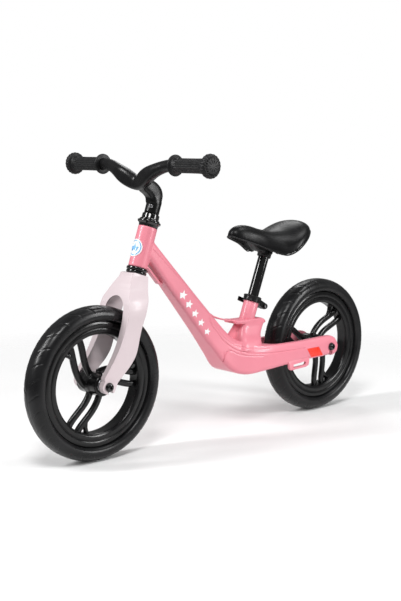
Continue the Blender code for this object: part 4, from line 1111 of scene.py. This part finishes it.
class BIKE_OT_wheels(bpy.types.Operator):
    """Mould both wheels: foam tyre, rim ring, hub, spoke pairs, bearings and axle set"""
    bl_idname = "bike.wheels"
    bl_label = "Wheels"

    def execute(self, context):
        settings = context.scene.balance_bike_wheels
        for which, hub in HUBS.items():
            upright = Matrix.Translation(hub) @ Matrix.Rotation(-QUARTER_TURN, 4, "X")
            body = f"{which}_wheel"
            self.tyre(which, upright, body, settings)
            self.rim(which, hub, upright, body, settings)
            repaint("bright_steel", f"{which}_bearing_left", f"{which}_bearing_right",
                    f"{which}_hub_sleeve", f"{which}_axle")
            self.axle_set(which, hub)
        return {"FINISHED"}

    def tyre(self, which, upright, body, settings):
        half = [tuple(row) for row in eased(TYRE_HALF, 3)]
        profile = half + [(radius, -height) for radius, height in reversed(half[:-1])]
        tyre = loose(spun(profile, 720))
        places, normals = mesh_arrays(tyre.data)
        radius = np.hypot(places[:, 0], places[:, 1])
        turn = np.arctan2(places[:, 1], places[:, 0])
        across = places[:, 2] / TYRE_HALF_WIDTH
        crown = np.clip((radius - 0.1345) / 0.003, 0, 1)
        lean = np.abs(across) * 0.62
        phase = (turn * settings.sipes / (2 * math.pi) + lean + 0.5 * (across > 0)) % 1.0
        near = np.minimum(phase, 1 - phase) * 2 * math.pi * TYRE_RADIUS / settings.sipes
        slant = np.exp(-(near / 0.0012) ** 2) * np.clip((np.abs(across) - 0.12) / 0.06, 0, 1)
        hollow = (np.exp(-((phase - 0.5) / 0.20) ** 2)
                  * np.exp(-((np.abs(across) - 0.62) / 0.16) ** 2))
        centre = np.exp(-(places[:, 2] / 0.0011) ** 2)
        sink = crown * (slant + 0.35 * hollow + 0.5 * centre) * settings.sipe_depth
        bead = np.exp(-((radius - 0.1212) / 0.0007) ** 2) * 0.00035
        places -= normals * (sink + bead)[:, None]
        store_places(tyre.data, places)
        tyre.data.transform(upright)
        finish_piece(tyre, f"{which}_tyre_foam", "foam_tyre", body, (f"{which}_tyre",), sharp=70)

    def rim(self, which, hub, upright, body, settings):
        profile = RIM_HALF + [(radius, -height) for radius, height in reversed(RIM_HALF[1:-1])]
        ring = loose(spun(profile, 240, upright))
        finish_piece(ring, f"{which}_rim_ring", "wheel_plastic", body, (f"{which}_rim",), sharp=35)
        wall = [(0.0133, -0.0300), (0.0182, -0.0300), (0.0200, -0.0282), (0.0200, -0.0120),
                (0.0212, -0.0080), (0.0212, 0.0080), (0.0200, 0.0120), (0.0200, 0.0282),
                (0.0182, 0.0300), (0.0133, 0.0300)]
        web = loose(spun(wall, 64, Matrix.Rotation(-QUARTER_TURN, 4, "X")))
        bars = []
        for pair in range(3):
            phase = SPOKE_PHASE[which] + 2 * math.pi * pair / 3
            for side in (-1, 1):
                line = [spoke_point(r, phase, side * SPOKE_SPACING / 2) for r in SPOKE_RADII]
                bars.append(spoke_bar(line, settings.spoke_width, 0.0050))
            start = -SPOKE_SPACING / 2
            line = [spoke_point(r, phase, start + offset) for r, offset in SPOKE_BRANCH]
            bars.append(spoke_bar(line, 0.0082, 0.0048))
        combine(web, [loose(bar) for bar in bars])
        reskin(web, 0.0010, 7)
        web.data.transform(Matrix.Translation(hub))
        finish_piece(web, f"{which}_spokes", "wheel_plastic", body, sharp=60)

    def axle_set(self, which, hub):
        body, face, inner = AXLE_SEATS[which]
        start = face + 0.0003
        bolt = [(0, start - 0.014), (0.0029, start - 0.014), (0.0029, start), (0.0086, start),
                (0.0086, start + 0.0014), (0.0076, start + 0.0020), (0.0074, start + 0.0036),
                (0.0068, start + 0.0054), (0.0054, start + 0.0066), (0.0036, start + 0.0070),
                (0, start + 0.0070)]
        spacer = [(0.0053, 0.0303), (0.0090, 0.0303), (0.0090, inner - 0.0003),
                  (0.0053, inner - 0.0003)]
        for side, name in SIDES:
            place = Matrix.Translation(hub) @ Matrix.Rotation(-side * QUARTER_TURN, 4, "X")
            head = loose(spun(bolt, 64, place, 0.0002))
            socket = bmesh.new()
            bmesh.ops.create_cone(socket, cap_ends=True, segments=6, radius1=0.0034,
                                  radius2=0.0034, depth=0.008,
                                  matrix=place @ Matrix.Translation((0, 0, start + 0.0070)))
            combine(head, [loose(socket)], "DIFFERENCE")
            finish_piece(head, f"{which}_axle_button_{name}", "gloss_black", body,
                         (f"{which}_axle_bolt_{name}",), sharp=30)
            ring = loose(spun(spacer, 64, place, 0.0004, 3))
            finish_piece(ring, f"{which}_spacer_{name}", "bright_steel", body,
                         (f"{which}_axle_spacer_{name}",), sharp=40)


# ---------------------------------------------------------------- seat

# x, half width, top height and edge height of each station of the saddle, nose to tail.
SADDLE_STATIONS = [
    (-43, 6, 405.5, 397.5), (-49, 14.5, 412.5, 394.0), (-60, 20.5, 417.5, 390.0),
    (-76, 25, 419.0, 384.5), (-95, 31, 415.8, 377.5), (-115, 40, 409.5, 368.5),
    (-136, 52, 405.0, 359.5), (-152, 60, 405.0, 355.5), (-170, 66, 407.5, 361.0),
    (-188, 68, 412.5, 372.0), (-206, 65, 418.0, 385.0), (-220, 57.5, 422.0, 394.5),
    (-233, 46, 422.0, 400.0), (-243, 32, 417.5, 402.5), (-250, 13, 411.5, 404.0)]
SHELL_THICKNESS = 0.013
BEAD_RADIUS = 0.0015


def saddle_arch(station, count, lift=0.0, squeeze=1.0):
    """Points over the top of one station of the saddle, from its right edge to its left."""
    x, half, top, edge = station
    points = []
    for i in range(count):
        angle = math.pi * i / (count - 1)
        rise = max(math.sin(angle), 0.0) ** 0.85
        height = max((top - edge) * MM - lift, 0.0015)
        points.append(Vector((x * MM, -half * squeeze * math.cos(angle) * MM,
                              edge * MM + height * rise)))
    return points


def inflate(piece, pressure, cap):
    """Presses the skin out from inside, as padding does, and holds it near its first shape."""
    before, _ = mesh_arrays(piece.data)
    cloth = piece.modifiers.new("padding", "CLOTH")
    cloth.settings.use_pressure = True
    cloth.settings.uniform_pressure_force = pressure
    cloth.settings.effector_weights.gravity = 0
    cloth.settings.tension_stiffness = 40
    cloth.settings.compression_stiffness = 40
    cloth.settings.bending_stiffness = 10
    scene = bpy.context.scene
    for step in range(1, 21):
        scene.frame_set(step)
    settle(piece)
    scene.frame_set(1)
    after, _ = mesh_arrays(piece.data)
    move = after - before
    length = np.linalg.norm(move, axis=1)
    share = np.minimum(1.0, cap / np.maximum(length, 1e-9))
    store_places(piece.data, before + move * share[:, None])


class BIKE_OT_saddle(bpy.types.Operator):
    """Pad the saddle, edge it with piping and mould the pan and post socket below it"""
    bl_idname = "bike.saddle"
    bl_label = "Saddle"

    def execute(self, context):
        settings = context.scene.balance_bike_seat
        stations = eased(SADDLE_STATIONS, 5)
        rings = []
        for station in stations:
            over = saddle_arch(station, 41, 0, 0.985)
            inner = max(0.3, 1 - 6.5 / station[1])
            under = saddle_arch(station, 41, SHELL_THICKNESS, inner)
            rings.append(over + under[::-1])
        cover = loose(skinned(rings), "saddle_skin")
        reskin(cover, 0.0024, 6)
        inflate(cover, settings.pressure, settings.swell)
        smooth = cover.modifiers.new("smooth", "SMOOTH")
        smooth.iterations = 8
        finer = cover.modifiers.new("finer", "SUBSURF")
        finer.levels = 1
        finer.render_levels = 1
        settle(cover)
        finish_piece(cover, "saddle_padding", "saddle_leather", "seat", ("saddle_cover",), sharp=0)
        self.piping(stations)
        self.pan(stations)
        return {"FINISHED"}

    def piping(self, stations):
        """A thin bead that runs round the lower edge of the cover."""
        left = [Vector((x, half * 0.965, edge + 0.5)) * MM for x, half, _, edge in stations]
        right = [Vector((point.x, -point.y, point.z)) for point in reversed(left)]
        loop = left + right
        rings = []
        for i, point in enumerate(loop):
            along = (loop[(i + 1) % len(loop)] - loop[i - 1]).normalized()
            out = along.cross(UP).normalized()
            up = out.cross(along).normalized()
            rings.append(superellipse(point, out * BEAD_RADIUS, up * BEAD_RADIUS, 2.0, 12))
        bm = skinned(rings + rings[:1])
        caps = [f for f in bm.faces if len(f.verts) > 4]
        bmesh.ops.delete(bm, geom=caps, context="FACES_ONLY")
        finish_piece(loose(bm), "saddle_piping", "grip_rubber", "seat", sharp=0)

    def pan(self, stations):
        """The stiff pan under the cover, its keel and the socket for the post."""
        rings = []
        for station in stations[10:-8]:
            roof = saddle_arch(station, 25, SHELL_THICKNESS - 0.0015, 0.80)
            floor = saddle_arch(station, 25, SHELL_THICKNESS + 0.0035, 0.77)
            floor = [point - UP * 0.0018 for point in floor]
            rings.append(roof + floor[::-1])
        pan = loose(skinned(rings), "pan")
        keel = flat_shape([(-84, 398), (-113, 365), (-122, 361.5), (-160, 358), (-172, 380),
                           (-168, 393)], -0.011, 0.011)
        low = SEAT_TUBE_TOP + SEAT_AXIS * 0.097
        high = SEAT_TUBE_TOP + SEAT_AXIS * 0.142
        combine(pan, [loose(soften(keel, 0.002, 3)), loose(rod(low, high, 0.0146, 96))])
        room = loose(rod(low - SEAT_AXIS * 0.01, SEAT_TUBE_TOP + SEAT_AXIS * 0.1183, 0.0113, 64))
        combine(pan, [room], "DIFFERENCE")
        reskin(pan, 0.0016, 3)
        finish_piece(pan, "saddle_pan", "black_nylon", "seat", ("saddle_base",), sharp=60)


class BIKE_OT_seat_post(bpy.types.Operator):
    """Draw the seat post and set the saddle bolts"""
    bl_idname = "bike.seat_post"
    bl_label = "Seat post"

    def execute(self, context):
        foot, top, outer, bore = -0.065, 0.118, 0.0111, 0.0096
        levels = [foot + (top - foot) * i / 24 for i in range(25)]
        tube = [(bore, foot)] + [(outer, level) for level in levels] + [(bore, top)]
        finish_piece(loose(spun(tube, 96, SEAT_PLACE, 0.0003)), "seat_post_drawn", "gloss_black",
                     "seat", ("seat_post",))
        bolt = [(0, 0.0148), (0.0032, 0.0148), (0.0046, 0.0152), (0.0046, 0.0178), (0.0038, 0.0190),
                (0.0022, 0.0192), (0.0022, 0.0172), (0, 0.0172)]
        for side, name in SIDES:
            place = (SEAT_PLACE @ Matrix.Translation((0, 0, 0.108))
                     @ Matrix.Rotation(-side * QUARTER_TURN, 4, "X"))
            finish_piece(loose(spun(bolt, 48, place, 0.0002)), f"saddle_screw_{name}",
                         "satin_black", "seat", (f"saddle_bolt_{name}",), sharp=35)
        repaint("black_nylon", "seat_post_plug", "seat_tube_sleeve")
        return {"FINISHED"}


def pin(middle, half_length, radius, segments=48):
    """An upright rod about a point."""
    return rod(middle - UP * half_length, middle + UP * half_length, radius, segments)


class BIKE_OT_seat_clamp(bpy.types.Operator):
    """Cut the seat collar with its ears, and the skewer, nut and cam lever"""
    bl_idname = "bike.seat_clamp"
    bl_label = "Seat clamp"

    def execute(self, context):
        inner = 0.0159
        reach = 36.0
        profile = [(inner, -0.0010), (0.0184, -0.0010), (0.0190, -0.0002), (0.0190, 0.0016),
                   (0.0183, 0.0022), (0.0183, 0.0088), (0.0190, 0.0094), (0.0190, 0.0110),
                   (0.0182, 0.0120), (0.0121, 0.0120), (0.0121, 0.0084), (inner, 0.0084)]
        collar = loose(spun(profile, 96))
        eye = arc((-reach, 0.2), 6.7, 90, 270, 24)
        ears = [(-14, 11.6), (-24, 9.0)] + eye + [(-24, -4.0), (-14, -0.8)]
        combine(collar, [loose(soften(flat_shape(ears, -0.0065, 0.0065), 0.0009, 2))])
        line = Vector((-reach * MM, 0, 0.0002))
        cuts = [box_between((-0.06, -0.0012, -0.02), (-0.010, 0.0012, 0.02)),
                rod(line - LEFT * 0.02, line + LEFT * 0.02, 0.0029, 32),
                rod(Vector((0, 0, -0.02)), Vector((0, 0, 0.0084)), inner, 96)]
        combine(collar, [loose(part) for part in cuts], "DIFFERENCE")
        reskin(collar, 0.0005, 5)
        self.place(collar, "seat_collar", "satin_black", "frame", "seat_clamp")

        pivot = Vector((-0.036, -0.0165, 0.0002))
        end = Vector((-0.036, 0.0080, 0.0002))
        skewer = loose(rod(pivot + LEFT * 0.0035, end, 0.0025, 48))
        combine(skewer, [loose(pin(pivot, 0.0027, 0.0042))])
        combine(skewer, [loose(pin(pivot, 0.02, 0.0023))], "DIFFERENCE")
        self.place(skewer, "skewer_rod", "bright_steel", "frame", "clamp_skewer")

        nut = [(0.0028, 0.0068), (0.0054, 0.0068), (0.0058, 0.0074), (0.0056, 0.0088),
               (0.0048, 0.0096), (0.0028, 0.0096)]
        turned = Matrix.Translation(line) @ Matrix.Rotation(-QUARTER_TURN, 4, "X")
        self.place(loose(spun(nut, 64, turned, 0.0002)), "skewer_nut", "satin_black", "frame",
                   "clamp_nut")

        head = loose(pin(pivot, 0.0050, 0.0075, 64))
        handle = eased([(-36, -23.5), (-26, -25.0), (-8, -24.4), (8, -22.0), (16, -21.6),
                        (17.5, -23.8), (9, -26.2), (-8, -28.8), (-28, -29.0), (-38, -27.0)], 4)
        arm = soften(flat_shape([tuple(p) for p in handle], -0.0045, 0.0048, "XY"), 0.0012, 3, 50)
        root = box_between((-0.041, -0.0255, -0.0043), (-0.031, -0.018, 0.0046))
        combine(head, [loose(arm), loose(root)])
        cuts = [pin(pivot, 0.02, 0.0023), pin(pivot, 0.0031, 0.0048),
                box_between((-0.0470, -0.0210, -0.0029), (-0.0325, -0.0050, 0.0033))]
        combine(head, [loose(part) for part in cuts], "DIFFERENCE")
        reskin(head, 0.0005, 5)
        self.place(head, "cam_lever", "satin_black", "lever", "clamp_lever")
        repaint("bright_steel", "lever_pin")
        return {"FINISHED"}

    def place(self, piece, name, finish, body, node):
        """Moves a piece from the collar's own place to the top of the seat tube."""
        piece.data.transform(SEAT_PLACE)
        finish_piece(piece, name, finish, body, (node,), sharp=45)


# ---------------------------------------------------------------- stage

CAMERA_PLACE = Vector((1.4312, 1.5692, 0.5821))
CAMERA_TARGET = Vector((0.0370, 0, 0.2738))
LIT_POINT = Vector((0, 0, 0.28))
FLOOR_RADIUS = 1.6
FLOOR_FADE = (0.5, 1.3)

# Name, place, size and share of the key light's power.
LIGHTS = (("strip_right", (-1.25, 2.0, 1.0), (0.35, 1.5), 1.1),
          ("strip_left", (2.05, -0.9, 1.8), (0.35, 1.5), 1.5),
          ("softbox_key", (1.3, 1.1, 2.4), (0.8, 0.8), 1.2),
          ("softbox_top", (-0.9, 0.5, 2.3), (0.9, 0.6), 0.35),
          ("softbox_back", (-1.6, -1.6, 2.0), (0.8, 0.8), 0.25))


def area_light(name, place, target, size, power):
    """A rectangular lamp that faces a point."""
    light = bpy.data.lights.new(name, "AREA")
    light.shape = "RECTANGLE"
    light.size, light.size_y = size
    light.energy = power
    lamp = bpy.data.objects.new(name, light)
    lamp.location = place
    lamp.rotation_mode = "QUATERNION"
    lamp.rotation_quaternion = (target - Vector(place)).to_track_quat("-Z", "Y")
    bpy.context.scene.collection.objects.link(lamp)


class BIKE_OT_stage(bpy.types.Operator):
    """Lay the pale floor, hang the studio lights and set the camera"""
    bl_idname = "bike.stage"
    bl_label = "Stage"

    def floor(self, settings):
        """A round floor that fades into the white surround."""
        bm = bmesh.new()
        bmesh.ops.create_circle(bm, cap_ends=True, segments=128, radius=FLOOR_RADIUS)
        bmesh.ops.translate(bm, verts=bm.verts, vec=(0, 0, -0.0004))
        floor = loose(bm, "studio_floor")
        pale = Finish("pale_floor", settings.floor_colour, 0.85)
        pale.vary_colour(3, [channel * 0.99 for channel in settings.floor_colour], 0.6)
        pale.vary_roughness(20, 0.05)
        distance = pale.nodes.new("ShaderNodeVectorMath")
        distance.operation = "LENGTH"
        pale.links.new(pale.where.outputs["Object"], distance.inputs[0])
        fade = pale.spread(distance.outputs["Value"], 1, 0, *FLOOR_FADE)
        pale.links.new(fade, pale.shader.inputs["Alpha"])
        floor.data.materials.append(pale.material)

    def surround(self, scene, settings):
        """A white surround that lights the bike more softly than it shows."""
        world = bpy.data.worlds.new("studio")
        world.use_nodes = True
        nodes = world.node_tree.nodes
        links = world.node_tree.links
        sky = nodes["Background"]
        sky.inputs["Color"].default_value = (1, 1, 1, 1)
        path = nodes.new("ShaderNodeLightPath")
        level = nodes.new("ShaderNodeMapRange")
        level.inputs["To Min"].default_value = settings.surround
        level.inputs["To Max"].default_value = 1
        links.new(path.outputs["Is Camera Ray"], level.inputs["Value"])
        links.new(level.outputs["Result"], sky.inputs["Strength"])
        scene.world = world

    def execute(self, context):
        settings = context.scene.balance_bike_stage
        scene = context.scene
        self.floor(settings)
        self.surround(scene, settings)
        for name, place, size, share in LIGHTS:
            area_light(name, place, LIT_POINT, size, settings.key_power * share)

        camera = bpy.data.cameras.new("studio_camera")
        camera.lens = settings.lens
        camera.sensor_width = 36
        camera.sensor_fit = "AUTO"
        camera.clip_start = 0.05
        camera.clip_end = 100
        camera.dof.use_dof = False
        eye = bpy.data.objects.new("studio_camera", camera)
        eye.location = CAMERA_PLACE
        eye.rotation_mode = "QUATERNION"
        eye.rotation_quaternion = (CAMERA_TARGET - CAMERA_PLACE).to_track_quat("-Z", "Y")
        scene.collection.objects.link(eye)
        scene.camera = eye
        scene.view_settings.view_transform = "Standard"
        return {"FINISHED"}


# ---------------------------------------------------------------- add-on

OPERATORS = (BIKE_OT_frame, BIKE_OT_motif, BIKE_OT_badge, BIKE_OT_reflectors, BIKE_OT_headset,
             BIKE_OT_fork, BIKE_OT_handlebar, BIKE_OT_grips, BIKE_OT_wheels, BIKE_OT_saddle,
             BIKE_OT_seat_post, BIKE_OT_seat_clamp, BIKE_OT_stage)
SETTINGS = {"balance_bike_paint": BikePaint, "balance_bike_wheels": BikeWheels,
            "balance_bike_seat": BikeSeat, "balance_bike_stage": BikeStage}


class BIKE_PT_panel(bpy.types.Panel):
    """Lists the bike's pieces and the stage in the sidebar"""
    bl_idname = "BIKE_PT_panel"
    bl_label = "Balance bike"
    bl_space_type = "VIEW_3D"
    bl_region_type = "UI"
    bl_category = "Balance bike"

    def draw(self, context):
        layout = self.layout
        for name, group in SETTINGS.items():
            box = layout.box()
            box.label(text=group.__doc__)
            for prop in group.__annotations__:
                box.prop(getattr(context.scene, name), prop)
        for operator in OPERATORS:
            layout.operator(operator.bl_idname)


def register():
    for group in SETTINGS.values():
        bpy.utils.register_class(group)
    for operator in OPERATORS:
        bpy.utils.register_class(operator)
    bpy.utils.register_class(BIKE_PT_panel)
    for name, group in SETTINGS.items():
        setattr(bpy.types.Scene, name, bpy.props.PointerProperty(type=group))


def unregister():
    for name in SETTINGS:
        delattr(bpy.types.Scene, name)
    bpy.utils.unregister_class(BIKE_PT_panel)
    for operator in reversed(OPERATORS):
        bpy.utils.unregister_class(operator)
    for group in reversed(list(SETTINGS.values())):
        bpy.utils.unregister_class(group)


def main():
    register()
    scene = bpy.context.scene
    make_finishes(scene.balance_bike_paint, scene.balance_bike_seat)
    for operator in OPERATORS:
        group, action = operator.bl_idname.split(".")
        result = getattr(getattr(bpy.ops, group), action)()
        if result != {"FINISHED"}:
            raise RuntimeError(f"{operator.bl_label} didn't finish")


if __name__ == "__main__":
    main()
